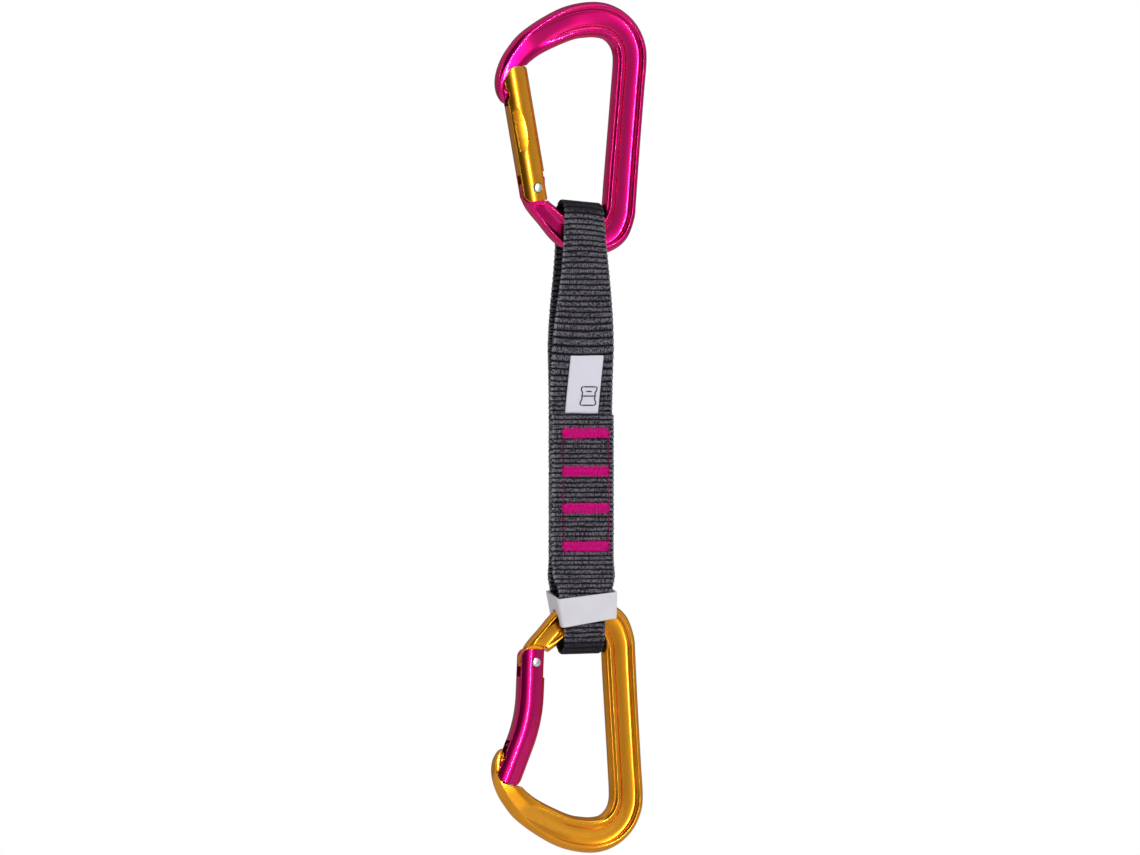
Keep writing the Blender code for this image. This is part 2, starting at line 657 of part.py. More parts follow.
# ---------------------------------------------------------------- rubber keeper
def rounded_box_loop(width, depth, radius, z):
    w, d = width / 2 - radius, depth / 2 - radius
    points = []
    for cx, cy, start in ((w, -d, -90), (w, d, 0), (-w, d, 90), (-w, -d, 180)):
        points += arc(cx, cy, radius, start, start + 90, 4)
    return [(x, y, z) for x, y in points]


def band(margin, over, radius):
    """Two loops of the keeper's tapering, skewed band, taken in by a margin and made longer at both ends."""
    loops = []
    for sign, (left, right), rise in ((-1, KEEPER_LOW, KEEPER_RISE_LOW), (1, KEEPER_TOP, KEEPER_RISE_TOP)):
        middle, z = (left + right) / 2, KEEPER_Z + sign * (KEEPER_H / 2 + over)
        outline = rounded_box_loop(right - left - 2 * margin, KEEPER_D - 2 * margin, radius, z)
        loops.append([(middle + x, y, z + rise * (middle + x - SLING_X) + KEEPER_RISE_Y * y)
                      for x, y, z in outline])
    return loft(loops)


def make_keeper():
    body = mesh_object("keeper", *band(0.0, 0.0, KEEPER_ROUND), "keeper_rubber")
    boolean(body, "DIFFERENCE", *band(KEEPER_WALL, 2.0, KEEPER_ROUND_IN))
    hole = []
    for x, top in zip((-20.0, 10.0), KEEPER_HOLE_TOP):
        ends = arc(0, top - KEEPER_HOLE_HALF, KEEPER_HOLE_HALF, 0, 180, 12)
        ends += [(-KEEPER_HOLE_HALF, top - 25.0), (KEEPER_HOLE_HALF, top - 25.0)]
        hole.append([(x, y, z) for y, z in ends])
    boolean(body, "DIFFERENCE", *loft(hole))
    return body


def main():
    clear_scene()
    top = empty("top_carabiner")
    bottom = empty("bottom_carabiner", (BOTTOM_ORIGIN[0], 0, BOTTOM_ORIGIN[1]), BOTTOM_TILT_DEG)
    make_frame(STRAIGHT, "magenta_anodised", top)
    make_gate(STRAIGHT, "gold_anodised", top)
    make_frame(BENT, "gold_anodised", bottom)
    make_gate(BENT, "magenta_anodised", bottom)
    make_sling()
    make_stitching()
    make_label()
    make_keeper()


main()
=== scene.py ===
"""Looks of the climbing quickdraw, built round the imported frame.

Lengths are millimetres until they reach a mesh. World axes: +Z up along the sling, +X from the gates
towards the spines, +Y through the thickness. A carabiner is drawn in its own (x, z) plane; the bottom one
is the same forging turned over.
"""

import math
import random

import bmesh
import bpy
import numpy as np
from mathutils import Matrix, Vector


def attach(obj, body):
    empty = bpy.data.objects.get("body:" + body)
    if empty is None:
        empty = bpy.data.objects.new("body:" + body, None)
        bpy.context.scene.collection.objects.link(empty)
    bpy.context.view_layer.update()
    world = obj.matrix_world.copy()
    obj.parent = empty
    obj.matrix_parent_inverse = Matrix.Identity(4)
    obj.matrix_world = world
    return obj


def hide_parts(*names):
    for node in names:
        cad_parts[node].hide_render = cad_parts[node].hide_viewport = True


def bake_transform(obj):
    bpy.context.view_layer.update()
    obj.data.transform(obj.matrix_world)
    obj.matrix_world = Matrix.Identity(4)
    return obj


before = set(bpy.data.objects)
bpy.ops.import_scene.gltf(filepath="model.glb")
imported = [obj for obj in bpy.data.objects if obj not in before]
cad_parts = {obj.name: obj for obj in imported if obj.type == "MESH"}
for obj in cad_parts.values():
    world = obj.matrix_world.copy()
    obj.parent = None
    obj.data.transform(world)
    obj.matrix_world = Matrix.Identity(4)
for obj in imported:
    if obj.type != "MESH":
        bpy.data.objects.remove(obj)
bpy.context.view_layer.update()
random.seed(7)

MM = 0.001

# ---- carabiner frame: outer edge (x, z), inner edge (x, z), half thickness, groove
FRAME_RIBS = [
    (-36.7, -26.8, -36.3, -26.1, 1.3, 0.0),
    (-38.3, -25.5, -36.7, -24.4, 2.1, 0.0),
    (-39.9, -22.3, -37.4, -21.8, 2.8, 0.0),
    (-40.4, -18.2, -36.9, -18.2, 3.4, 0.0),
    (-39.9, -14.0, -33.0, -14.6, 3.9, 0.0),
    (-38.3, -9.4, -28.6, -12.0, 4.1, 0.0),
    (-35.4, -4.7, -26.3, -10.0, 4.1, 0.0),
    (-30.5, 1.0, -22.2, -7.1, 4.1, 0.05),
    (-22.2, 6.9, -15.8, -3.9, 4.2, 0.55),
    (-12.6, 11.8, -8.2, -0.9, 4.4, 0.95),
    (-3.2, 14.0, -2.2, 0.0, 4.4, 1.0),
    (5.2, 13.7, 1.4, 0.0, 4.4, 1.0),
    (12.6, 10.5, 4.6, -0.8, 4.4, 1.0),
    (18.3, 4.9, 7.0, -3.1, 4.4, 1.0),
    (21.5, -2.2, 8.2, -6.2, 4.4, 1.0),
    (22.1, -9.0, 8.4, -10.4, 4.4, 1.0),
    (21.2, -20.0, 7.6, -21.0, 4.4, 1.0),
    (19.4, -42.0, 5.8, -42.6, 4.4, 1.0),
    (18.2, -58.0, 4.5, -58.0, 4.4, 1.0),
    (17.7, -65.0, 4.1, -63.6, 4.4, 1.0),
    (16.9, -72.2, 3.6, -67.6, 4.4, 1.0),
    (13.4, -80.2, 2.0, -71.0, 4.4, 1.0),
    (6.6, -85.0, -0.8, -72.9, 4.4, 1.0),
    (-2.5, -86.3, -4.1, -73.3, 4.4, 1.0),
    (-10.6, -84.8, -7.9, -72.3, 4.4, 1.0),
    (-17.0, -80.7, -11.8, -70.1, 4.4, 0.95),
    (-22.4, -74.5, -15.7, -67.4, 4.3, 0.55),
    (-27.4, -68.6, -19.5, -64.3, 4.3, 0.05),
    (-30.2, -63.4, -20.5, -61.0, 4.3, 0.0),
]
SECTION = [
    (0.00, 0.14, 0.14),
    (0.02, 0.46, 0.44),
    (0.07, 0.76, 0.76),
    (0.13, 0.90, 0.95),
    (0.19, 0.95, 1.00),
    (0.28, 0.985, 0.84),
    (0.38, 1.00, 0.59),
    (0.72, 0.95, 0.55),
    (0.79, 0.91, 0.74),
    (0.86, 0.83, 0.84),
    (0.94, 0.64, 0.66),
    (1.00, 0.16, 0.16),
]
RIB_STEPS = 8
NOSE_BALL = (-36.8, -23.5)
BALL_R = 2.35
TONGUE_HALF = 2.1

# ---- gates
FLAT_N, FLAT_HALF = -6.0, 3.2
GATE_MIDDLE_N, GATE_FRONT, GATE_HALF, GATE_SIDE_STEPS = -1.5, 6.2, 4.4, 14
TAIL_S, SHOULDER_R = -5.2, 6.85
LUG_HALF, TAIL_SLOT_HALF, TAIL_SLOT_END = 2.1, 2.45, 6.0
NOSE_SLOT_HALF, NOSE_SLOT_FLOOR = 2.75, -0.8
CAM_R, CAM_OFFSET, CAM_ANGLE_DEG, LUG_REACH = 2.35, 3.2, 50.0, 3.5
RIVET_R, RIVET_HOLE_R, RIVET_HALF, HEAD_R = 1.6, 1.95, 4.45, 1.83
BORE_N, BORE_R = -0.65, 2.35
SCALLOP_R, SCALLOP_REACH, SCALLOP_LEAN_DEG = 75.0, 4.39, 15.0
SCALLOP_HALF_DEG, SCALLOP_CUTTER_DEPTH, SCALLOP_CUTTER_HALF = 14, 9, 14.0
SCALLOP_N = (-3.6, 9.0)  # it stops short of the gate's flat back
STRAIGHT = {
    "name": "top", "flip": 1.0, "hinge": (-24.0, -60.0), "tilt": 10.0, "bend": (13.0, 20.0, 0.0),
    "length": 48.6, "end_round": 1.3, "corner": None, "slot": 33.6, "ball": (-6.3, 38.2),
    "bore_end": 26.0, "scallop": 23.4,
}
BENT = {
    "name": "bottom", "flip": -1.0, "hinge": (-24.3, -61.2), "tilt": 1.1, "bend": (13.0, 20.0, 19.1),
    "length": 49.9, "end_round": 2.4, "corner": (3.4, 4.2), "slot": 33.4, "ball": (-6.6, 40.4),
    "bore_end": 24.0, "scallop": None,
}
BOTTOM_ORIGIN = (-1.8, -309.4)
BOTTOM_TILT_DEG = 1.3
EDGE_ROUND, TINY = 0.25, 0.03
GATE_GAP = 0.12  # between a shut gate and the nose

# ---- sling
SLING_MIDDLE_Z = -180.0  # above this the upper loop's shape holds, below it the lower one's
WEB_T = 2.0
LAYER_PITCH = 2.1
STRAP_Y = 5.8
BAR_Z = -79.9
BOTTOM_BAR_Z = BOTTOM_ORIGIN[1] - BAR_Z
SLING_X, LOOP_W, CREST_W, CREST_X, WIDE_W, KEPT_W = -4.9, 17.8, 16.4, -5.4, 25.7, 22.0
WIDEN_TOP_Z, WIDEN_L = -77.0, 50.0
SPLAY_CLEAR = 8.0  # the straps are fully apart this far from a bar
LOOP_RISE, LOOP_EASE = 5.0, 14.0  # height of a loop's round crest; length over which it joins the straps
TOP_CREST_Z, CREST_SLOPE = -65.8, -0.085
LOOP_END_Z = -96.0
STACK_TOP_Z, STACK_END_Z = -149.7, -206.0
LOWER_LOOP_START_Z = -213.0
BOTTOM_CREST_Z = BOTTOM_ORIGIN[1] + 65.6
SEAM_Z = -172.1  # where the two pieces of the strip meet, under a bartack on the back
RIB_PITCH_TOP, RIB_PITCH = 2.12, 1.93
RIB_DEPTH = 0.45
RIB_PITCH_FROM_Z, RIB_PITCH_FADE = -140.0, 30.0
RIB_BOW_UP, RIB_BOW_DOWN = -0.3, 0.22
BOW_UP_END_Z, BOW_UP_FADE = -96.0, 12.0
BOW_DOWN_TOP_Z, BOW_DOWN_TOP_FADE, BOW_DOWN_END_Z, BOW_DOWN_END_FADE = -98.0, 14.0, -146.0, 18.0
BACK_BOW = 0.3  # share of the front's bow
RIB_SQUARE, RIB_JITTER = 2.3, 0.12
EDGE_TURN_U, SELVEDGE_U, SELVEDGE_FADE = 0.9, 0.925, 0.05  # places across, 1 at the edge
CUT_END_TAPER = 1.2
EDGE_WANDER, EDGE_SCALLOP = 0.004, 0.28
STRIP_COLUMNS, STRIP_STEP = 44, 0.235
KNOT_H, KNOT_WAVE = 0.06, 44.0  # bumps along a rib: height, and radians over half the width
CREST_SHADE_TOP, CREST_SHADE_LOW = (6.0, 3.5), (7.0, 4.5)  # painted shade round a crest: reach, fade
BARTACK_Z = (-157.0, -172.1, -186.8, -201.9)
BARTACK_W, BARTACK_H, BARTACK_X = 20.0, 4.8, -3.8
BARTACK_THREADS, BARTACK_ROWS, BARTACK_THREAD_R, BARTACK_SLANT = 36, 4, 0.24, 0.26
BARTACK_ROW_R, BARTACK_RAGGED = 0.25, (-0.7, 0.25)
STITCH_L, STITCH_GAP, STITCH_R = 1.35, 0.75, 0.32
SIDE_STITCH_X = (-13.3, 5.4)
LABEL_W, LABEL_T = 13.6, 0.45
LABEL_TOP_Z, LABEL_LOW_Z = -126.3, -149.2
LABEL_X, LABEL_TILT_DEG = -3.4, 4.5

# ---- keeper
KEEPER_Z, KEEPER_H, KEEPER_D, KEEPER_WALL = -225.3, 11.0, 16.6, 0.9
KEEPER_TOP, KEEPER_LOW = (-17.4, 7.8), (-15.2, 7.6)
KEEPER_RISE_LOW, KEEPER_RISE_TOP, KEEPER_RISE_Y = 0.165, 0.115, 0.2
KEEPER_HOLE_HALF = 4.8
KEEPER_HOLE_TOP = (-227.3, -224.1)

# ---- camera: its side of the object, the point it looks at, the width in view and its distance
VIEW_AZIMUTH_DEG = -17.0
VIEW_U, VIEW_Z, VIEW_WIDE, VIEW_FAR = -9.13, -154.8, 452.6, 3000.0


# ---------------------------------------------------------------- plain geometry
def loft(loops):
    count = len(loops[0])
    verts = [p for loop in loops for p in loop]
    faces = []
    for row in range(len(loops) - 1):
        base = row * count
        for i in range(count):
            j = (i + 1) % count
            faces.append((base + i, base + j, base + count + j, base + count + i))
    faces.append(tuple(range(count)))
    faces.append(tuple(range(len(verts) - count, len(verts))))
    return verts, faces


def prism(outline, half, flip=1.0):
    return loft([[(x, y, z * flip) for x, z in outline] for y in (-half, half)])


def turned(profile, sides=48):
    loops = profile[1:-1]
    verts = [(0.0, 0.0, profile[0][1])]
    for radius, z in loops:
        for k in range(sides):
            a = 2 * math.pi * k / sides
            verts.append((radius * math.cos(a), radius * math.sin(a), z))
    verts.append((0.0, 0.0, profile[-1][1]))
    last = len(verts) - 1
    faces = []
    for k in range(sides):
        j = (k + 1) % sides
        faces.append((0, 1 + j, 1 + k))
        for row in range(len(loops) - 1):
            a = 1 + row * sides
            faces.append((a + k, a + j, a + sides + j, a + sides + k))
        top = 1 + (len(loops) - 1) * sides
        faces.append((last, top + k, top + j))
    return verts, faces


def cylinder(radius, start, end, sides=64):
    return turned([(0.0, start), (radius, start), (radius, end), (0.0, end)], sides)


def along_y(verts):
    return [(x, z, -y) for x, y, z in verts]


def moved(verts, dx=0.0, dy=0.0, dz=0.0):
    return [(x + dx, y + dy, z + dz) for x, y, z in verts]


def spline(rows, steps):
    p = np.array(rows, float)
    p = np.vstack([2 * p[0] - p[1], p, 2 * p[-1] - p[-2]])
    out = []
    for i in range(1, len(p) - 2):
        for k in range(steps):
            t = k / steps
            a, b, c, d = p[i - 1], p[i], p[i + 1], p[i + 2]
            square, cube = 2 * a - 5 * b + 4 * c - d, 3 * b - a - 3 * c + d
            out.append(0.5 * (2 * b + (c - a) * t + square * t**2 + cube * t**3))
    out.append(p[-2])
    return out


def arc(cx, cz, radius, start_deg, end_deg, steps):
    angles = [math.radians(start_deg + (end_deg - start_deg) * k / steps) for k in range(steps + 1)]
    return [(cx + radius * math.cos(a), cz + radius * math.sin(a)) for a in angles]


def smooth(t):
    t = min(max(t, 0.0), 1.0)
    return t * t * (3 - 2 * t)


def mix(a, b, t):
    return a + (b - a) * t


# ---------------------------------------------------------------- Blender helpers
def mesh_object(name, verts, faces):
    mesh = bpy.data.meshes.new(name)
    mesh.from_pydata([[c * MM for c in v] for v in verts], [], faces)
    bm = bmesh.new()
    bm.from_mesh(mesh)
    bmesh.ops.recalc_face_normals(bm, faces=bm.faces)
    bm.to_mesh(mesh)
    bm.free()
    obj = bpy.data.objects.new(name, mesh)
    bpy.context.collection.objects.link(obj)
    return obj


def settle(obj):
    """Applies an object's modifiers to its mesh."""
    bpy.context.view_layer.update()
    graph = bpy.context.evaluated_depsgraph_get()
    mesh = bpy.data.meshes.new_from_object(obj.evaluated_get(graph))
    obj.modifiers.clear()
    old = obj.data
    obj.data = mesh
    bpy.data.meshes.remove(old)


def carve(obj, cuts):
    """Applies Booleans, each (operation, verts, faces) in the object's own space."""
    guides = []
    for operation, verts, faces in cuts:
        guide = mesh_object("guide", verts, faces)
        mod = obj.modifiers.new(operation, "BOOLEAN")
        mod.operation, mod.solver, mod.object = operation, "EXACT", guide
        guides.append(guide)
    settle(obj)
    for guide in guides:
        mesh = guide.data
        bpy.data.objects.remove(guide, do_unlink=True)
        bpy.data.meshes.remove(mesh)


def soften(obj, width=EDGE_ROUND):
    """Rounds the edges that machining leaves, and shades the rest smooth."""
    bm = bmesh.new()
    bm.from_mesh(obj.data)
    bmesh.ops.remove_doubles(bm, verts=bm.verts, dist=TINY * MM)
    bmesh.ops.dissolve_degenerate(bm, dist=TINY * MM, edges=bm.edges)
    bm.to_mesh(obj.data)
    bm.free()
    obj.data.shade_smooth()
    mod = obj.modifiers.new("round", "BEVEL")
    mod.width, mod.segments, mod.limit_method = width * MM, 2, "ANGLE"
    mod.angle_limit, mod.harden_normals, mod.use_clamp_overlap = math.radians(38), True, False
    settle(obj)


def frame_place(gate):
    if gate["flip"] > 0:
        return Matrix.Identity(4)
    place = Matrix.Translation((BOTTOM_ORIGIN[0] * MM, 0, BOTTOM_ORIGIN[1] * MM))
    return place @ Matrix.Rotation(math.radians(BOTTOM_TILT_DEG), 4, "Y")


def gate_place(gate):
    hx, hz = gate["hinge"]
    move = Matrix.Translation((hx * MM, 0, hz * gate["flip"] * MM))
    return frame_place(gate) @ move @ Matrix.Rotation(math.radians(-gate["tilt"] * gate["flip"]), 4, "Y")


def finish_piece(obj, place, mat, slot, body, *nodes):
    if place is not None:
        obj.data.transform(place)
    obj.data.materials.clear()
    obj.data.materials.append(mat)
    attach(obj, body)
    if nodes:
        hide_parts(*nodes)


# ---------------------------------------------------------------- materials
def new_material(name, colour, roughness, metallic=0.0):
    mat = bpy.data.materials.new(name)
    mat.use_nodes = True
    shader = mat.node_tree.nodes["Principled BSDF"]
    shader.inputs["Base Color"].default_value = (*colour, 1.0)
    shader.inputs["Roughness"].default_value = roughness
    shader.inputs["Metallic"].default_value = metallic
    return mat, mat.node_tree, shader


def node(tree, kind, **values):
    made = tree.nodes.new(kind)
    for key, value in values.items():
        if key in made.inputs:
            made.inputs[key].default_value = value
        else:
            setattr(made, key, value)
    return made


def noise(tree, scale, detail=3.0, rough=0.5, vector=None):
    made = node(tree, "ShaderNodeTexNoise", Scale=scale, Detail=detail, Roughness=rough)
    if vector is None:
        vector = node(tree, "ShaderNodeTexCoord").outputs["Object"]
    tree.links.new(vector, made.inputs["Vector"])
    return made.outputs["Fac"]


def span(tree, value, low, high, to_low=0.0, to_high=1.0):
    made = node(tree, "ShaderNodeMapRange")
    tree.links.new(value, made.inputs["Value"])
    for key, number in zip(("From Min", "From Max", "To Min", "To Max"), (low, high, to_low, to_high)):
        made.inputs[key].default_value = number
    return made.outputs["Result"]


def math_node(tree, operation, a, b=None):
    made = node(tree, "ShaderNodeMath", operation=operation)
    for place, value in enumerate((a, b)):
        if value is None:
            continue
        if isinstance(value, (int, float)):
            made.inputs[place].default_value = value
        else:
            tree.links.new(value, made.inputs[place])
    return made.outputs["Value"]


def blend_colours(tree, factor, first, second):
    made = node(tree, "ShaderNodeMix", data_type="RGBA")
    tree.links.new(factor, made.inputs[0])
    for place, value in ((6, first), (7, second)):
        if isinstance(value, tuple):
            made.inputs[place].default_value = (*value, 1.0)
        else:
            tree.links.new(value, made.inputs[place])
    return made.outputs[2]


def bump(tree, shader, height, strength, distance):
    made = node(tree, "ShaderNodeBump", Strength=strength, Distance=distance)
    tree.links.new(height, made.inputs["Height"])
    tree.links.new(made.outputs["Normal"], shader.inputs["Normal"])


def anodised(name, colour, deep, edge):
    """Satin anodised aluminium: dyed metal under a clear oxide layer, with a fine tumbled texture."""
    mat, tree, shader = new_material(name, colour, 0.24, 1.0)
    shader.inputs["Specular Tint"].default_value = (*edge, 1.0)
    shader.inputs["Coat Weight"].default_value = 0.5
    shader.inputs["Coat Roughness"].default_value = 0.06
    shader.inputs["Coat IOR"].default_value = 1.5
    cloud = noise(tree, 90.0, 3.0)
    tone = blend_colours(tree, span(tree, cloud, 0.35, 0.75), colour, deep)
    tree.links.new(tone, shader.inputs["Base Color"])
    fine = noise(tree, 2600.0, 2.0)
    tree.links.new(span(tree, cloud, 0.3, 0.7, 0.21, 0.27), shader.inputs["Roughness"])
    bump(tree, shader, fine, 0.12, 0.00004)
    return mat


def steel_material():
    mat, tree, shader = new_material("bright_steel", (0.74, 0.74, 0.76), 0.22, 1.0)
    brushed = noise(tree, 1500.0, 2.0)
    tree.links.new(span(tree, brushed, 0.3, 0.7, 0.16, 0.3), shader.inputs["Roughness"])
    return mat


def webbing_material():
    """Grey ribbed weave: rib is the height on a rib, phase the place across it, and the UV map is in mm."""
    mat, tree, shader = new_material("webbing_weave", (0.07, 0.065, 0.08), 0.82)
    shader.inputs["Sheen Weight"].default_value = 0.05
    shader.inputs["Specular IOR Level"].default_value = 0.12
    uv = node(tree, "ShaderNodeUVMap", uv_map="weave").outputs["UV"]
    rib = node(tree, "ShaderNodeAttribute", attribute_name="rib").outputs["Fac"]
    edge = node(tree, "ShaderNodeAttribute", attribute_name="selvedge").outputs["Fac"]
    phase = node(tree, "ShaderNodeAttribute", attribute_name="phase").outputs["Fac"]
    split = node(tree, "ShaderNodeSeparateXYZ")
    tree.links.new(uv, split.inputs[0])
    across = split.outputs["X"]
    # slanted yarns, about 0.9 mm apart, that lean one way up a rib and the other way down it
    lean = math_node(tree, "ABSOLUTE", math_node(tree, "SUBTRACT", phase, 0.5))
    wander = math_node(tree, "MULTIPLY", noise(tree, 0.8, 2.0, vector=uv), 5.0)
    turn = math_node(tree, "ADD", math_node(tree, "MULTIPLY", across, 7.2), wander)
    yarns = math_node(tree, "SINE", math_node(tree, "ADD", turn, math_node(tree, "MULTIPLY", lean, 9.0)))
    fleck = noise(tree, 1.15, 1.0, 0.6, uv)
    fine = noise(tree, 2.6, 1.0, 0.6, uv)
    patch = noise(tree, 0.12, 2.0, 0.5, uv)
    light = math_node(tree, "ADD", span(tree, fleck, 0.4, 0.6), span(tree, yarns, -1.0, 1.0, -0.35, 0.35))
    light = math_node(tree, "ADD", light, span(tree, fine, 0.4, 0.6, -0.4, 0.4))
    light = math_node(tree, "ADD", light, span(tree, patch, 0.35, 0.65, -0.15, 0.15))
    body = blend_colours(tree, light, (0.012, 0.010, 0.018), (0.225, 0.21, 0.25))
    # painted shade: the grooves between the ribs go near black where the rib height falls
    gap = blend_colours(tree, span(tree, rib, 0.3, 0.9), (0.003, 0.0025, 0.005), body)
    dash = math_node(tree, "MULTIPLY", span(tree, fleck, 0.42, 0.5), span(tree, rib, 0.35, 0.7))
    tone = blend_colours(tree, math_node(tree, "MULTIPLY", dash, edge), gap, (0.36, 0.35, 0.39))
    # painted shade: the strap is darkened towards near black round each crest, by the bend attribute
    bend = node(tree, "ShaderNodeAttribute", attribute_name="bend").outputs["Fac"]
    tone = blend_colours(tree, math_node(tree, "MULTIPLY", bend, 0.85), tone, (0.008, 0.007, 0.012))
    tree.links.new(tone, shader.inputs["Base Color"])
    height = math_node(tree, "ADD", yarns, math_node(tree, "MULTIPLY", fine, 3.0))
    bump(tree, shader, height, 0.7, 0.0001)
    return mat


def thread_material(name, colour, dark):
    mat, tree, shader = new_material(name, colour, 0.6)
    shader.inputs["Sheen Weight"].default_value = 0.03
    shader.inputs["Specular IOR Level"].default_value = 0.15
    fibre = noise(tree, 1400.0, 3.0)
    tone = blend_colours(tree, span(tree, fibre, 0.3, 0.7), colour, dark)
    tree.links.new(tone, shader.inputs["Base Color"])
    bump(tree, shader, fibre, 0.35, 0.00006)
    return mat


def label_material():
    mat, tree, shader = new_material("label_weave", (0.83, 0.82, 0.87), 0.75)
    where = node(tree, "ShaderNodeTexCoord").outputs["Object"]
    split = node(tree, "ShaderNodeSeparateXYZ")
    tree.links.new(where, split.inputs[0])
    rows = math_node(tree, "SINE", math_node(tree, "MULTIPLY", split.outputs["Z"], 15000.0))
    cols = math_node(tree, "SINE", math_node(tree, "MULTIPLY", split.outputs["X"], 21000.0))
    weave = math_node(tree, "MULTIPLY", rows, cols)
    tone = blend_colours(tree, span(tree, rows, -1.0, 1.0), (0.80, 0.78, 0.90), (0.91, 0.89, 0.99))
    tree.links.new(tone, shader.inputs["Base Color"])
    bump(tree, shader, weave, 0.3, 0.00006)
    return mat


def rubber_material():
    mat, tree, shader = new_material("keeper_rubber", (0.70, 0.69, 0.735), 0.48)
    shader.inputs["Subsurface Weight"].default_value = 0.12
    shader.inputs["Subsurface Radius"].default_value = (0.002, 0.002, 0.002)
    cloud = noise(tree, 120.0, 3.0)
    tone = blend_colours(tree, span(tree, cloud, 0.3, 0.7), (0.77, 0.755, 0.805), (0.83, 0.815, 0.865))
    tree.links.new(tone, shader.inputs["Base Color"])
    bump(tree, shader, noise(tree, 2200.0, 2.0), 0.15, 0.00005)
    return mat


MAGENTA = anodised("magenta_anodised", (0.76, 0.0, 0.175), (0.62, 0.0, 0.145), (1.0, 0.1, 0.4))
GOLD = anodised("gold_anodised", (0.92, 0.38, 0.012), (0.76, 0.29, 0.008), (1.0, 0.6, 0.12))
STEEL = steel_material()
WEB = webbing_material()
THREAD = thread_material("magenta_thread", (0.95, 0.0, 0.33), (0.62, 0.0, 0.20))
DULL_THREAD = thread_material("side_thread", (0.30, 0.002, 0.10), (0.12, 0.002, 0.05))
LABEL = label_material()
INK = thread_material("label_ink", (0.035, 0.033, 0.045), (0.02, 0.02, 0.03))
RUBBER = rubber_material()


# ---------------------------------------------------------------- carabiners
def gate_path(gate, s):
    start, length, degrees = gate["bend"]
    turn = math.radians(degrees)
    if s <= start or turn == 0.0:
        return 0.0, s, 0.0
    radius = length / turn
    angle = min((s - start) / radius, turn)
    rest = max(s - start - length, 0.0)
    n = -radius * (1 - math.cos(angle)) - rest * math.sin(angle)
    return n, start + radius * math.sin(angle) + rest * math.cos(angle), angle


def gate_point(gate, n, s):
    pn, ps, angle = gate_path(gate, s)
    return pn + n * math.cos(angle), ps + n * math.sin(angle)


def corner_arc(gate, gap):
    """The rounded outer corner of the gate's nose, gap outside it, from the end round to the flat."""
    wide, tall = gate["corner"]
    quarter = arc(0, 0, 1, 85, 180, 12)
    return [(FLAT_N + wide + (wide + gap) * x, gate["length"] - tall + (tall + gap) * s) for x, s in quarter]


def end_radius(gate):
    return math.hypot(*gate_point(gate, 0.0, gate["length"]))


def end_arc(gate, radius, start, stop, steps):
    x, z = gate_point(gate, 0.0, gate["length"])
    middle = math.degrees(math.atan2(z, x))
    return arc(0, 0, radius, middle + start, middle + stop, steps)


def to_frame(gate, point):
    x, z = point
    a = math.radians(gate["tilt"])
    hx, hz = gate["hinge"]
    return hx + x * math.cos(a) - z * math.sin(a), hz + x * math.sin(a) + z * math.cos(a)


def gate_section():
    """(n, y) round the D: a flat back, sides that swell a little, and a round front."""
    low = []
    for k in range(GATE_SIDE_STEPS):
        t = 1 - k / GATE_SIDE_STEPS
        low.append((mix(GATE_MIDDLE_N, FLAT_N, t), -mix(GATE_HALF, FLAT_HALF, t * t)))
    low[0] = (FLAT_N + 0.22, low[0][1])
    low.insert(0, (FLAT_N, -FLAT_HALF + 0.35))
    front = [(GATE_MIDDLE_N + GATE_FRONT * x, GATE_HALF * y) for x, y in arc(0, 0, 1.0, -90, 0, 16)]
    side = low + front
    return side + [(n, -y) for n, y in reversed(side[:-1])]


def gate_end_outline(gate):
    length, radius = gate["length"], gate["end_round"]
    front = GATE_MIDDLE_N + GATE_FRONT
    left, right = FLAT_N - 1.0, front + 1.0
    outline = arc(FLAT_N + 3.5, TAIL_S + 3.5, 3.5, 180, 270, 9)
    outline += arc(3.4, TAIL_S + 1.3, 1.3, 270, 360, 6)
    outline.append((right, TAIL_S + 2.6))
    steps = [2.0, 8.0, 13.0, 15.0, 17.0, 19.0, 21.0, 23.0, 25.0, 27.0, 29.0, 31.0, 33.0, 38.0]
    outline += [(right, s) for s in steps]
    outline.append((right, length - 2.5 * radius))
    outline.append((front, length - 1.5 * radius))
    outline.append((front - 0.4 * radius, length - 0.6 * radius))
    low = corner_arc(gate, 0.0) if gate["corner"] else [(left, length - 6.2)]
    low += [(left, s) for s in reversed(steps)]
    low.append((left, TAIL_S + 4.6))
    nose = end_arc(gate, end_radius(gate), -3.6, 2.6 if gate["corner"] else 3.4, 10)
    return [gate_point(gate, n, s) for n, s in outline] + nose + [gate_point(gate, n, s) for n, s in low]


def scallop_cuts(middle):
    """Two shallow facets, milled by a wide round cutter that leans outwards."""
    outline = arc(0, 0, SCALLOP_R, -SCALLOP_HALF_DEG, SCALLOP_HALF_DEG, 40)
    outline += [(SCALLOP_R - SCALLOP_CUTTER_DEPTH, z) for z in (SCALLOP_CUTTER_HALF, -SCALLOP_CUTTER_HALF)]
    centre = SCALLOP_REACH + SCALLOP_R
    lean = math.radians(SCALLOP_LEAN_DEG)
    cuts = []
    for side in (-1, 1):
        verts, faces = loft([[(n, centre - r, middle + z) for r, z in outline] for n in SCALLOP_N])
        leant = [(x * math.cos(lean) - y * math.sin(lean), y * math.cos(lean) + x * math.sin(lean), z)
                 for x, y, z in verts]
        cuts.append(("DIFFERENCE", [(x, side * y, z) for x, y, z in leant], faces))
    return cuts


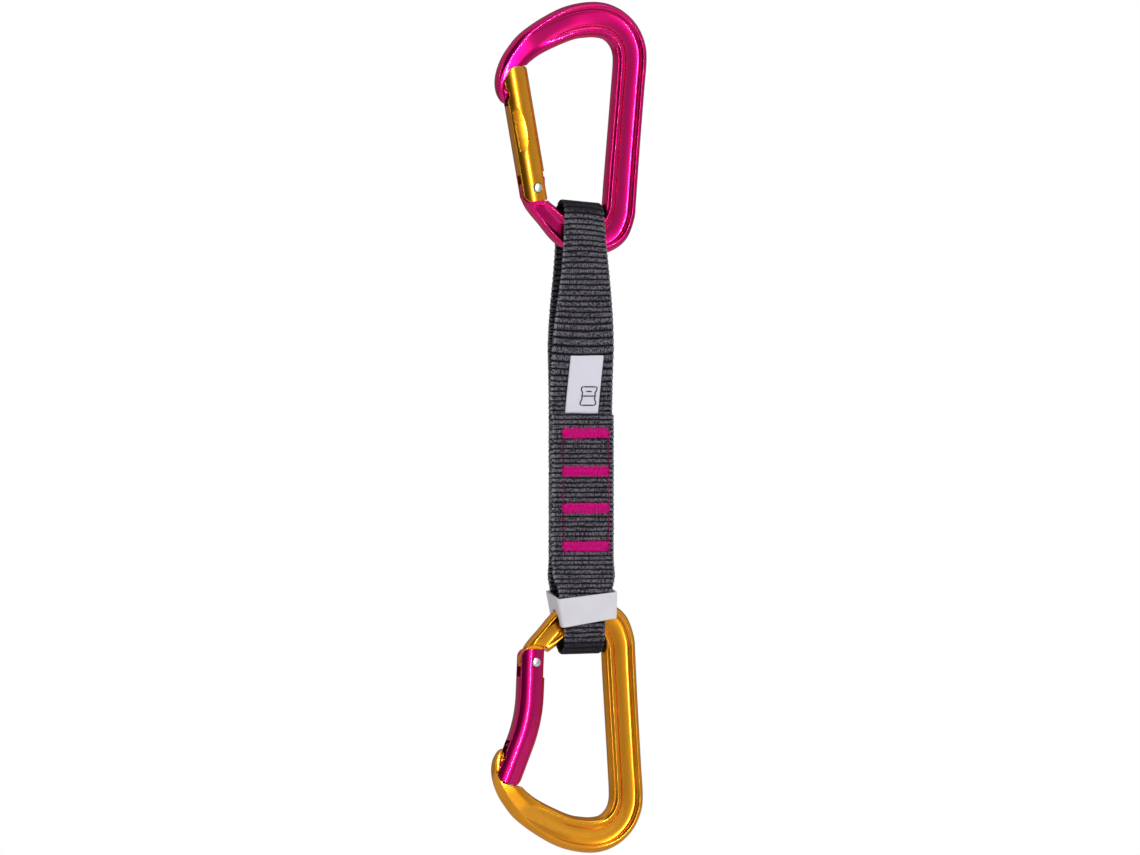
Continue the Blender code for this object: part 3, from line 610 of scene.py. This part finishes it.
def make_gate(gate, mat, slot):
    flip, side = gate["flip"], gate["name"]
    bend_start, bend_length, _ = gate["bend"]
    stations = [TAIL_S - 1.0, 0.0, 4.0, 8.0] + [bend_start + bend_length * k / 12 for k in range(13)]
    stations += [36.0, 40.0, 44.0, gate["length"] + 1.0]
    loops = []
    for s in stations:
        points = [(gate_point(gate, n, s), y) for n, y in gate_section()]
        loops.append([(x, y, z * flip) for (x, z), y in points])
    body = mesh_object(side + "_gate_shell", *loft(loops))
    tail_slot = [(-9, TAIL_S - 2), (7, TAIL_S - 2), (7, TAIL_SLOT_END), (-9, TAIL_SLOT_END)]
    ends = (gate["slot"], gate["length"] + 3)
    slot_cut = [(-9, ends[0]), (NOSE_SLOT_FLOOR, ends[0] + 1.5), (NOSE_SLOT_FLOOR, ends[1]), (-9, ends[1])]
    slot_cut = [gate_point(gate, n, s) for n, s in slot_cut]
    ball_n, ball_s = gate["ball"]
    bx, bz = gate_point(gate, ball_n - 1.6, ball_s)
    notch, notch_faces = cylinder(2.9, -6, 6)
    bore, bore_faces = cylinder(BORE_R, TAIL_SLOT_END - 1, gate["bore_end"], 32)
    hole, hole_faces = cylinder(RIVET_HOLE_R, -6, 6, 48)
    cuts = [
        ("INTERSECT", *prism(gate_end_outline(gate), 6.0, flip)),
        ("DIFFERENCE", *prism(tail_slot, TAIL_SLOT_HALF, flip)),
        ("DIFFERENCE", *prism(slot_cut, NOSE_SLOT_HALF, flip)),
        ("DIFFERENCE", moved(along_y(notch), bx, 0, bz * flip), notch_faces),
        ("DIFFERENCE", [(x + BORE_N, y, z * flip) for x, y, z in bore], bore_faces),
        ("DIFFERENCE", along_y(hole), hole_faces),
    ]
    if gate["scallop"]:
        cuts += scallop_cuts(gate["scallop"])
    carve(body, cuts)
    soften(body)
    finish_piece(body, gate_place(gate), mat, slot, side + "_gate", side + "_gate")


def frame_section(width, half, groove):
    rows = spline(SECTION, 4)
    near = [(u * width, half * mix(plain, beam, groove)) for u, plain, beam in rows]
    return near + [(u, -y) for u, y in reversed(near)]


def frame_loops(flip):
    loops = []
    for xo, zo, xi, zi, half, groove in spline(FRAME_RIBS, RIB_STEPS):
        width = math.hypot(xo - xi, zo - zi)
        loop = []
        for u, y in frame_section(width, half, min(max(groove, 0.0), 1.0)):
            loop.append((mix(xi, xo, u / width), y, mix(zi, zo, u / width) * flip))
        loops.append(loop)
    return loops


def lug_outline(gate):
    hx, hz = gate["hinge"]
    a = math.radians(90 + gate["tilt"] - CAM_ANGLE_DEG)
    cam_x, cam_z = CAM_OFFSET * math.cos(a), CAM_OFFSET * math.sin(a)
    flat_deg = math.degrees(math.acos((LUG_REACH - cam_x) / CAM_R))
    points = [(-5.7, 1.8), (-6.1, 0.4), (-6.0, -1.8), (-4.2, -4.9)]
    points += [(-2.0, -7.4), (1.0, -7.6), (LUG_REACH, -6.6), (LUG_REACH, -3.0)]
    points += arc(cam_x, cam_z, CAM_R, flat_deg, 130, 16)
    points += arc(0, 0, 3.85, 95, 125, 8)
    return [(hx + x, hz + z) for x, z in points]


def tongue_outline(gate):
    length, ball_s = gate["length"], gate["ball"][1]
    right = [(-4.0, ball_s), (-2.3, ball_s + 5), (-2.0, length + 1.5)]
    left = [(-36.0, -9.6), (-38.0, -14.0), (-38.7, -18.0), (-38.3, -22.0)]
    return [to_frame(gate, gate_point(gate, n, s)) for n, s in right] + left


def make_frame(gate, mat, slot):
    flip, side, length = gate["flip"], gate["name"], gate["length"]
    hx, hz = gate["hinge"]
    body = mesh_object(side + "_frame_forging", *loft(frame_loops(flip)))
    corners = [(9, length - 19), (FLAT_N - GATE_GAP, length - 19)]
    corners += corner_arc(gate, GATE_GAP)[::-1] if gate["corner"] else [(FLAT_N - GATE_GAP, length - 5.1)]
    window = [gate_point(gate, n, s) for n, s in corners]
    window += end_arc(gate, end_radius(gate) + GATE_GAP, 3.0, -12.0, 16)
    window = [to_frame(gate, point) for point in window]
    shoulder, shoulder_faces = cylinder(SHOULDER_R, -8, 8, 96)
    turns = [math.radians(a) for a in range(180, -1, -10)]
    ball, ball_faces = turned([(BALL_R * math.sin(a), BALL_R * math.cos(a)) for a in turns], 36)
    hole, hole_faces = cylinder(RIVET_HOLE_R, -6, 6, 48)
    carve(body, [
        ("DIFFERENCE", *prism(window, 8.0, flip)),
        ("DIFFERENCE", moved(along_y(shoulder), hx, 0, hz * flip), shoulder_faces),
        ("UNION", *prism(lug_outline(gate), LUG_HALF, flip)),
        ("UNION", *prism(tongue_outline(gate), TONGUE_HALF, flip)),
        ("UNION", moved(ball, NOSE_BALL[0], 0, NOSE_BALL[1] * flip), ball_faces),
        ("DIFFERENCE", moved(along_y(hole), hx, 0, hz * flip), hole_faces),
    ])
    soften(body)
    carabiner = side + "_carabiner"
    finish_piece(body, frame_place(gate), mat, slot, carabiner, side + "_frame")
    dome = [(0, -RIVET_HALF - 0.05), (0.9, -RIVET_HALF - 0.04), (1.45, -RIVET_HALF + 0.03)]
    dome += [(1.72, -RIVET_HALF + 0.14), (HEAD_R, -RIVET_HALF + 0.36), (HEAD_R, -RIVET_HALF + 0.9)]
    dome.append((RIVET_R, -RIVET_HALF + 1.1))
    verts, faces = turned(dome + [(r, -y) for r, y in reversed(dome)], 48)
    rivet = mesh_object(side + "_rivet_pin", moved(along_y(verts), hx, 0, hz * flip), faces)
    rivet.data.shade_smooth()
    finish_piece(rivet, frame_place(gate), STEEL, "steel", carabiner, side + "_rivet")


def make_spring(gate):
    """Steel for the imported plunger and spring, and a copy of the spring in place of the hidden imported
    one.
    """
    side = gate["name"]
    plunger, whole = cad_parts[side + "_plunger"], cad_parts[side + "_spring"]
    for inner in (plunger, whole):
        inner.data.materials.clear()
        inner.data.materials.append(STEEL)
    spring = bpy.data.objects.new(side + "_coil", whole.data.copy())
    bpy.context.collection.objects.link(spring)
    spring.data.transform(whole.matrix_world)
    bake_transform(spring)
    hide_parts(side + "_spring")


# ---------------------------------------------------------------- webbing
def sling_width(z):
    if z > SLING_MIDDLE_Z:
        return mix(LOOP_W, WIDE_W, smooth((WIDEN_TOP_Z - z) / WIDEN_L))
    kept = mix(LOOP_W, KEPT_W, smooth((z - KEEPER_Z + 5.0) / 10.0))
    return mix(kept, WIDE_W, smooth((z - KEEPER_Z - 4.0) / 9.0))


def strap_y(z, layer):
    """How far through the sling a layer lies: together where sewn, apart round the bars."""
    if z > SLING_MIDDLE_Z:
        t = smooth((z - STACK_TOP_Z) / (BAR_Z - SPLAY_CLEAR - STACK_TOP_Z))
        sewn = 0.0 if layer < 0 else LAYER_PITCH
    else:
        t = smooth((STACK_END_Z - z) / (STACK_END_Z - BOTTOM_BAR_Z - SPLAY_CLEAR))
        sewn = layer * LAYER_PITCH
    return mix(sewn, layer * STRAP_Y, t)


def loop_path(crest_z, end_z, up):
    """(y, z) up the front of a loop, over its crest and down the back."""
    round_z = crest_z - up * LOOP_RISE
    points = [(-STRAP_Y, mix(end_z, round_z, k / 60)) for k in range(60)]
    points += [(-STRAP_Y * math.cos(math.pi * k / 40), round_z + up * LOOP_RISE * math.sin(math.pi * k / 40))
               for k in range(41)]
    points += [(STRAP_Y, mix(round_z, end_z, k / 60)) for k in range(1, 61)]
    placed = []
    for y, z in points:
        near = abs(z - end_z)
        if near < LOOP_EASE:
            y = mix(strap_y(z, -1 if y < 0 else 1), y, smooth(near / LOOP_EASE))
        placed.append((y, z))
    return placed


def upper_path():
    """(y, z) along the upper piece: under the stack, up the front, over the bar and down the back."""
    steps = 120
    under = [(0.0, mix(STACK_END_Z, STACK_TOP_Z, k / steps)) for k in range(steps)]
    front = [(strap_y(z, -1), z) for z in np.linspace(STACK_TOP_Z, LOOP_END_Z, steps)[:-1]]
    back = [(strap_y(z, 1), z) for z in np.linspace(LOOP_END_Z, SEAM_Z, steps)[1:]]
    return under + front + loop_path(TOP_CREST_Z, LOOP_END_Z, 1) + back


def lower_path():
    steps = 120
    front = [(-LAYER_PITCH, z) for z in np.linspace(STACK_TOP_Z, STACK_END_Z, steps)[:-1]]
    front += [(strap_y(z, -1), z) for z in np.linspace(STACK_END_Z, LOWER_LOOP_START_Z, 20)[:-1]]
    back = [(strap_y(z, 1), z) for z in np.linspace(LOWER_LOOP_START_Z, STACK_END_Z, 20)[1:]]
    back += [(LAYER_PITCH, z) for z in np.linspace(STACK_END_Z, SEAM_Z, steps)[1:]]
    return front + loop_path(BOTTOM_CREST_Z, LOWER_LOOP_START_Z, -1) + back


def resample(path, step):
    """The path smoothed and cut into even steps, with the length run at each point."""
    p = np.array(path, float)
    for _ in range(6):
        p[1:-1] = (p[:-2] + 2 * p[1:-1] + p[2:]) / 4
    run = np.concatenate([[0.0], np.cumsum(np.hypot(*np.diff(p, axis=0).T))])
    count = int(run[-1] / step)
    at = np.linspace(0.0, run[-1], count + 1)
    return np.stack([np.interp(at, run, p[:, 0]), np.interp(at, run, p[:, 1])], axis=1), at


def edge_wave(s, seed):
    """A smooth irregular wave, about -1 to 1."""
    return (math.sin(s * 0.31 + seed) + math.sin(s * 0.83 + seed * 2.3) + math.sin(s * 1.91 + seed * 4.1)) / 3


def place_width(z, upper):
    """Middle x, width and slope of the strip at a height, as it narrows over the bars."""
    end_z, crest_z = (LOOP_END_Z, TOP_CREST_Z) if upper else (LOWER_LOOP_START_Z, BOTTOM_CREST_Z)
    inside = (z - end_z) / (crest_z - end_z)
    t = smooth(inside)
    slope = (CREST_SLOPE if upper else 0.02) * t
    return mix(SLING_X, CREST_X, t), mix(sling_width(z), CREST_W, t * t), slope


def rib_arch(z):
    """How far the ribs bow: up in the middle by the top bar, down where the strap widens."""
    up = smooth((z - BOW_UP_END_Z) / BOW_UP_FADE)
    down = smooth((BOW_DOWN_TOP_Z - z) / BOW_DOWN_TOP_FADE)
    down *= smooth((z - BOW_DOWN_END_Z) / BOW_DOWN_END_FADE)
    return RIB_BOW_UP * up + RIB_BOW_DOWN * down


def crest_shade(z, upper):
    """1 where the strap turns over a bar and painted shade darkens it to near black, 0 away from it."""
    crest_z = TOP_CREST_Z if upper else BOTTOM_CREST_Z
    reach, fade = CREST_SHADE_TOP if upper else CREST_SHADE_LOW
    return smooth((reach - abs(z - crest_z)) / fade)


def make_strip(name, path, upper, ends_open):
    """A ribbed strip along the path, with the values that its material reads at each point."""
    points, run = resample(path, STRIP_STEP)
    tangent = np.gradient(points, axis=0)
    tangent /= np.maximum(np.hypot(*tangent.T), 1e-9)[:, None]
    loops, ribs, selvedge, phases, painted_crest_shades, uvs = [], [], [], [], [], []
    half = WEB_T / 2 - 0.1
    total = run[-1]
    for (y, z), (ty, tz), s in zip(points, tangent, run):
        middle, width, slope = place_width(z, upper)
        rise = smooth((z - RIB_PITCH_FROM_Z) / RIB_PITCH_FADE)
        pitch = mix(RIB_PITCH, RIB_PITCH_TOP, rise) if upper else RIB_PITCH
        tilt = rib_arch(z) if upper and y < 1.0 else BACK_BOW * rib_arch(z)
        # bend: how much painted shade darkens the strap here, round a crest
        bend = crest_shade(z, upper)
        ny, nz = tz, -ty
        fade = min(1.0, s / CUT_END_TAPER, (total - s) / CUT_END_TAPER) if ends_open else 1.0
        loop = []
        for face in (-1, 1):
            for k in range(STRIP_COLUMNS + 1):
                u = -1 + 2 * k / STRIP_COLUMNS
                u *= -face
                jitter = RIB_JITTER * edge_wave(s * 2 + u * 3, 2.0)
                phase = (s + tilt * (1 - u * u) * 2.0 + jitter) / pitch
                frac = phase - math.floor(phase)
                rib = 1 - abs(2 * frac - 1) ** RIB_SQUARE
                crown = math.sqrt(max(1 - max(abs(u) - EDGE_TURN_U, 0.0) ** 2 / 0.0105, 0.0))
                body = half * (0.35 + 0.65 * crown) * fade
                knot = KNOT_H * math.sin(KNOT_WAVE * u + math.pi * (math.floor(phase) % 2)) * rib
                lift = body - (RIB_DEPTH * (1 - rib) - knot) * crown
                wide = width / 2 * (1 + EDGE_WANDER * edge_wave(s, 1.0))
                wide -= EDGE_SCALLOP * (1 - rib) * abs(u) ** 6
                x = u * wide
                sink = slope * x
                loop.append((middle + x, y + face * ny * lift, z + face * nz * lift + sink))
                ribs.append(rib)
                phases.append(frac)
                painted_crest_shades.append(bend)
                selvedge.append(smooth((abs(u) - SELVEDGE_U) / SELVEDGE_FADE))
                uvs.append((x, s))
        loops.append(loop)
    verts, faces = loft(loops)
    obj = mesh_object(name, verts, faces)
    mesh = obj.data
    for key, values in (("rib", ribs), ("selvedge", selvedge), ("phase", phases), ("bend", painted_crest_shades)):
        mesh.attributes.new(key, "FLOAT", "POINT").data.foreach_set("value", np.array(values, np.float32))
    layer = mesh.uv_layers.new(name="weave")
    index = np.zeros(len(mesh.loops), np.int32)
    mesh.loops.foreach_get("vertex_index", index)
    layer.data.foreach_set("uv", np.array(uvs, np.float32)[index].ravel())
    mesh.shade_smooth()
    mesh.materials.append(WEB)
    return obj, total


def make_webbing():
    upper, upper_length = make_strip("sling_strip_upper", upper_path(), True, True)
    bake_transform(upper)
    lower, lower_length = make_strip("sling_strip_lower", lower_path(), False, True)
    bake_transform(lower)
    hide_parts("webbing", "webbing_top_loop")
    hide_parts("webbing_bottom_loop")


# ---------------------------------------------------------------- stitching, label, keeper
def thread(path, radius, sides=6):
    """A closed round thread along (x, y, z) points, with tapered ends."""
    p = np.array(path, float)
    direction = np.gradient(p, axis=0)
    direction /= np.linalg.norm(direction, axis=1)[:, None]
    loops = []
    for k, (point, d) in enumerate(zip(p, direction)):
        size = radius * (0.45 if k in (0, len(p) - 1) else 1.0)
        side = np.cross(d, (0.0, 1.0, 0.0))
        side /= np.linalg.norm(side)
        up = np.cross(side, d)
        loops.append([tuple(point + size * (side * math.cos(a) + up * math.sin(a)))
                      for a in (2 * math.pi * i / sides for i in range(sides))])
    return loft(loops)


def joined(name, parts):
    verts, faces = [], []
    for part_verts, part_faces in parts:
        base = len(verts)
        verts += part_verts
        faces += [tuple(base + i for i in face) for face in part_faces]
    obj = mesh_object(name, verts, faces)
    obj.data.shade_smooth()
    return obj


def bartack(name, sign, z, rng):
    """Dense zigzag thread with ragged ends, and a short tip at one side."""
    parts = []
    face = sign * (LAYER_PITCH + WEB_T / 2 + 0.1)
    count = BARTACK_THREADS
    for k in range(count):
        x = BARTACK_X + BARTACK_W * ((k + 0.5) / count - 0.5) + rng.uniform(-0.08, 0.08)
        taper = min(1.0, 0.3 + 0.22 * (count - 1 - k), 0.62 + 0.2 * k)
        upper = BARTACK_H / 2 * taper + rng.uniform(*BARTACK_RAGGED)
        lower = BARTACK_H / 2 * taper + rng.uniform(*BARTACK_RAGGED)
        slant = BARTACK_SLANT * (1 if k % 2 else -1)
        lift = rng.uniform(-0.1, 0.1)
        path = []
        for t in (-1.0, -0.85, -0.4, 0.0, 0.4, 0.85, 1.0):
            y = face + sign * (lift + 0.16 - 0.42 * abs(t) ** 6)
            path.append((x + slant * t, y, z + t * (upper if t > 0 else lower)))
        parts.append(thread(path, BARTACK_THREAD_R))
    for row in range(BARTACK_ROWS):
        dz = (row - (BARTACK_ROWS - 1) / 2) * BARTACK_H / (BARTACK_ROWS + 1)
        y = face - sign * 0.06
        path = [(BARTACK_X + BARTACK_W * (t - 0.5) * 0.96, y, z + dz + rng.uniform(-0.1, 0.1))
                for t in (0.0, 0.03, 0.25, 0.5, 0.75, 0.97, 1.0)]
        parts.append(thread(path, BARTACK_ROW_R))
    obj = joined(name + "_thread", parts)
    finish_piece(obj, None, THREAD, "thread_magenta", "sling", name)


def side_stitch(name, sign, x, rng):
    """A line of single stitches, each a thread that dips into the webbing at both ends."""
    parts = []
    face = sign * (LAYER_PITCH + WEB_T / 2 - 0.02)
    low, high = BARTACK_Z[-1] - BARTACK_H / 2, BARTACK_Z[0] + BARTACK_H / 2
    z = low
    while z < high - 2.0:
        length = STITCH_L + rng.uniform(-0.15, 0.15)
        wobble = rng.uniform(-0.14, 0.14)
        path = []
        for t in (0.0, 0.12, 0.35, 0.65, 0.88, 1.0):
            y = face + sign * (0.22 - 0.5 * abs(2 * t - 1) ** 4)
            path.append((x + wobble * (1 - 2 * t) + rng.uniform(-0.03, 0.03), y, z + length * t))
        parts.append(thread(path, STITCH_R))
        z += length + STITCH_GAP
    obj = joined(name + "_thread", parts)
    finish_piece(obj, None, DULL_THREAD, "thread_magenta", "sling", name)


def make_stitching():
    rng = random.Random(11)
    for side, sign in (("front", -1), ("back", 1)):
        for number, z in enumerate(BARTACK_Z, 1):
            bartack(f"bartack_{side}_{number}", sign, z, rng)
        for end, x in zip(("left", "right"), SIDE_STITCH_X):
            side_stitch(f"side_stitch_{side}_{end}", sign, x, rng)


def label_place(a, t):
    """A point of the label's middle surface: a across in mm, t from 0 at the top to 1 at the bottom."""
    lean = math.tan(math.radians(LABEL_TILT_DEG))
    z = mix(LABEL_TOP_Z, LABEL_LOW_Z, t)
    y = strap_y(z, -1) - WEB_T / 2 - 0.12 - LABEL_T / 2 - 0.18 * math.sin(math.pi * t)
    return LABEL_X + (z - LABEL_TOP_Z) * lean + a, y, z


def make_label():
    rows, columns = 36, 20
    loops = []
    for k in range(rows + 1):
        t = k / rows
        ring = []
        for face in (-1, 1):
            for i in range(columns + 1):
                a = -face * (LABEL_W / 2) * (-1 + 2 * i / columns)
                x, y, z = label_place(a, t)
                edge = abs(a) / (LABEL_W / 2)
                thin = 0.5 * LABEL_T * (1 - 0.5 * edge**12) * (0.6 if k in (0, rows) else 1.0)
                ring.append((x, y + face * thin, z + 0.1 * math.sin(a * 0.4) * (1 - 2 * t)))
        loops.append(ring)
    obj = mesh_object("label_cloth", *loft(loops))
    obj.data.shade_smooth()
    finish_piece(obj, None, LABEL, "label_white", "sling", "label")
    make_pictogram()


def make_pictogram():
    """A plain open book, sewn in dark thread on the label's lower half."""
    def at(a, t):
        x, y, z = label_place(a, t)
        return x, y - LABEL_T / 2 - 0.03, z

    middle, low, high, half = 2.2, 0.54, 0.86, 2.9
    centre = (low + high) / 2
    sides = []
    for side in (-1, 1):
        wave = [(middle + side * (half + 0.35 * math.sin(math.pi * k / 3)), mix(low, centre, k / 6))
                for k in range(7)]
        sides += [wave, [(a, low + high - t) for a, t in wave]]
    lines = sides + [
        [(middle - half, low), (middle + half, low)],
        [(middle - half, centre), (middle + half, centre)],
        [(middle - half, high), (middle + half, high)],
        [(middle - 1.2, mix(low, centre, 0.5)), (middle + 1.2, mix(low, centre, 0.5))],
    ]
    parts = []
    for line in lines:
        dense = []
        for (a0, t0), (a1, t1) in zip(line[:-1], line[1:]):
            dense += [at(mix(a0, a1, k / 6), mix(t0, t1, k / 6)) for k in range(6)]
        dense.append(at(*line[-1]))
        parts.append(thread(dense, 0.25))
    obj = joined("label_pictogram", parts)
    finish_piece(obj, None, INK, "label_white", "sling")


def rounded_box_loop(width, depth, radius, z):
    w, d = width / 2 - radius, depth / 2 - radius
    points = []
    for cx, cy, start in ((w, -d, -90), (w, d, 0), (-w, d, 90), (-w, -d, 180)):
        points += arc(cx, cy, radius, start, start + 90, 10)
    return [(x, y, z) for x, y in points]


def band(margin, over, radius):
    loops = []
    for sign, (left, right), rise in ((-1, KEEPER_LOW, KEEPER_RISE_LOW), (1, KEEPER_TOP, KEEPER_RISE_TOP)):
        middle, z = (left + right) / 2, KEEPER_Z + sign * (KEEPER_H / 2 + over)
        outline = rounded_box_loop(right - left - 2 * margin, KEEPER_D - 2 * margin, radius, z)
        loops.append([(middle + x, y, z + rise * (middle + x - SLING_X) + KEEPER_RISE_Y * y)
                      for x, y, z in outline])
    return loft(loops)


def make_keeper():
    body = mesh_object("keeper_band", *band(0.0, 0.0, 1.3))
    hole = []
    for x, top in zip((-20.0, 10.0), KEEPER_HOLE_TOP):
        ends = arc(0, top - KEEPER_HOLE_HALF, KEEPER_HOLE_HALF, 0, 180, 24)
        ends += [(-KEEPER_HOLE_HALF, top - 25.0), (KEEPER_HOLE_HALF, top - 25.0)]
        hole.append([(x, y, z) for y, z in ends])
    carve(body, [("DIFFERENCE", *band(KEEPER_WALL, 2.0, 0.6)), ("DIFFERENCE", *loft(hole))])
    soften(body, 0.3)
    finish_piece(body, None, RUBBER, "keeper_rubber", "bottom_carabiner", "keeper")


# ---------------------------------------------------------------- studio
def area_light(name, place, aim, size, power):
    data = bpy.data.lights.new(name, "AREA")
    data.shape, data.size, data.size_y = "RECTANGLE", size[0], size[1]
    data.energy = power
    obj = bpy.data.objects.new(name, data)
    bpy.context.collection.objects.link(obj)
    obj.matrix_world = look_matrix(place, aim)


def look_matrix(place, aim):
    back = np.array(place, float) - np.array(aim, float)
    back /= np.linalg.norm(back)
    right = np.cross((0.0, 0.0, 1.0), back)
    right /= np.linalg.norm(right)
    up = np.cross(back, right)
    rows = [[right[i], up[i], back[i], place[i]] for i in range(3)] + [[0, 0, 0, 1]]
    return Matrix(rows)


def make_stage():
    """A plain pale floor under the hanging object."""
    white = new_material("studio_floor", (0.9, 0.9, 0.9), 0.9)[0]
    floor_z, half = -420.0, 900.0
    verts = [(x, y, floor_z) for x, y in ((-half, -half), (half, -half), (half, half), (-half, half))]
    mesh = bpy.data.meshes.new("studio_floor")
    mesh.from_pydata([[c * MM for c in v] for v in verts], [], [(0, 1, 2, 3)])
    floor = bpy.data.objects.new("studio_floor", mesh)
    bpy.context.collection.objects.link(floor)
    mesh.materials.append(white)


ROOM = [  # (azimuth in degrees from the front, -X side first; how bright the room is there)
    (-180, 0.42), (-140, 0.6), (-75, 0.5), (-52, 0.1), (-14, 0.05), (-6, 0.85), (8, 0.9),
    (20, 0.5), (45, 0.75), (105, 0.85), (125, 0.3), (165, 0.32), (180, 0.42),
]


def make_lights():
    world = bpy.data.worlds.new("soft_room")
    bpy.context.scene.world = world
    world.use_nodes = True
    tree = world.node_tree
    background = tree.nodes["Background"]
    where = node(tree, "ShaderNodeTexCoord").outputs["Generated"]
    split = node(tree, "ShaderNodeSeparateXYZ")
    tree.links.new(where, split.inputs[0])
    front = math_node(tree, "MULTIPLY", split.outputs["Y"], -1.0)
    azimuth = math_node(tree, "ARCTAN2", split.outputs["X"], front)
    ramp = node(tree, "ShaderNodeValToRGB")
    tree.links.new(span(tree, azimuth, -math.pi, math.pi), ramp.inputs["Fac"])
    stops = ramp.color_ramp.elements
    while len(stops) < len(ROOM):
        stops.new(0.5)
    for stop, (degrees, level) in zip(stops, ROOM):
        stop.position = (degrees + 180) / 360
        stop.color = (level / 2, level / 2, level / 2, 1.0)
    height = span(tree, split.outputs["Z"], -0.8, 0.9, 0.35, 2.1)
    tree.links.new(math_node(tree, "MULTIPLY", ramp.outputs["Color"], height), background.inputs["Color"])
    seen = node(tree, "ShaderNodeBackground")
    seen.inputs["Color"].default_value = (1.0, 1.0, 1.0, 1.0)
    chosen = node(tree, "ShaderNodeMixShader")
    path = node(tree, "ShaderNodeLightPath")
    tree.links.new(path.outputs["Is Camera Ray"], chosen.inputs[0])
    tree.links.new(background.outputs[0], chosen.inputs[1])
    tree.links.new(seen.outputs[0], chosen.inputs[2])
    tree.links.new(chosen.outputs[0], tree.nodes["World Output"].inputs["Surface"])
    aim = (0.0, 0.0, -0.155)
    area_light("strip", (0.12, -1.5, 0.25), aim, (0.06, 1.3), 9.0)
    area_light("left", (-1.45, -0.2, 0.1), aim, (0.1, 1.6), 2.5)
    area_light("top", (0.0, -0.5, 1.2), aim, (1.2, 0.25), 1.2)


def make_camera():
    a = math.radians(VIEW_AZIMUTH_DEG)
    back = np.array((math.sin(a), -math.cos(a), 0.0))
    right = np.array((math.cos(a), math.sin(a), 0.0))
    aim = right * VIEW_U * MM + np.array((0.0, 0.0, VIEW_Z * MM))
    data = bpy.data.cameras.new("camera")
    data.sensor_width = 36.0
    data.lens = 36.0 * VIEW_FAR / VIEW_WIDE
    data.clip_start, data.clip_end = 0.1, 20.0
    camera = bpy.data.objects.new("camera", data)
    bpy.context.collection.objects.link(camera)
    camera.matrix_world = look_matrix(aim + back * VIEW_FAR * MM, aim)
    bpy.context.scene.camera = camera


def main():
    make_frame(STRAIGHT, MAGENTA, "magenta_anodised")
    make_gate(STRAIGHT, GOLD, "gold_anodised")
    make_frame(BENT, GOLD, "gold_anodised")
    make_gate(BENT, MAGENTA, "magenta_anodised")
    for gate in (STRAIGHT, BENT):
        make_spring(gate)
    make_webbing()
    make_stitching()
    make_label()
    make_keeper()
    make_stage()
    make_lights()
    make_camera()
    bpy.context.scene.view_settings.view_transform = "Standard"


main()
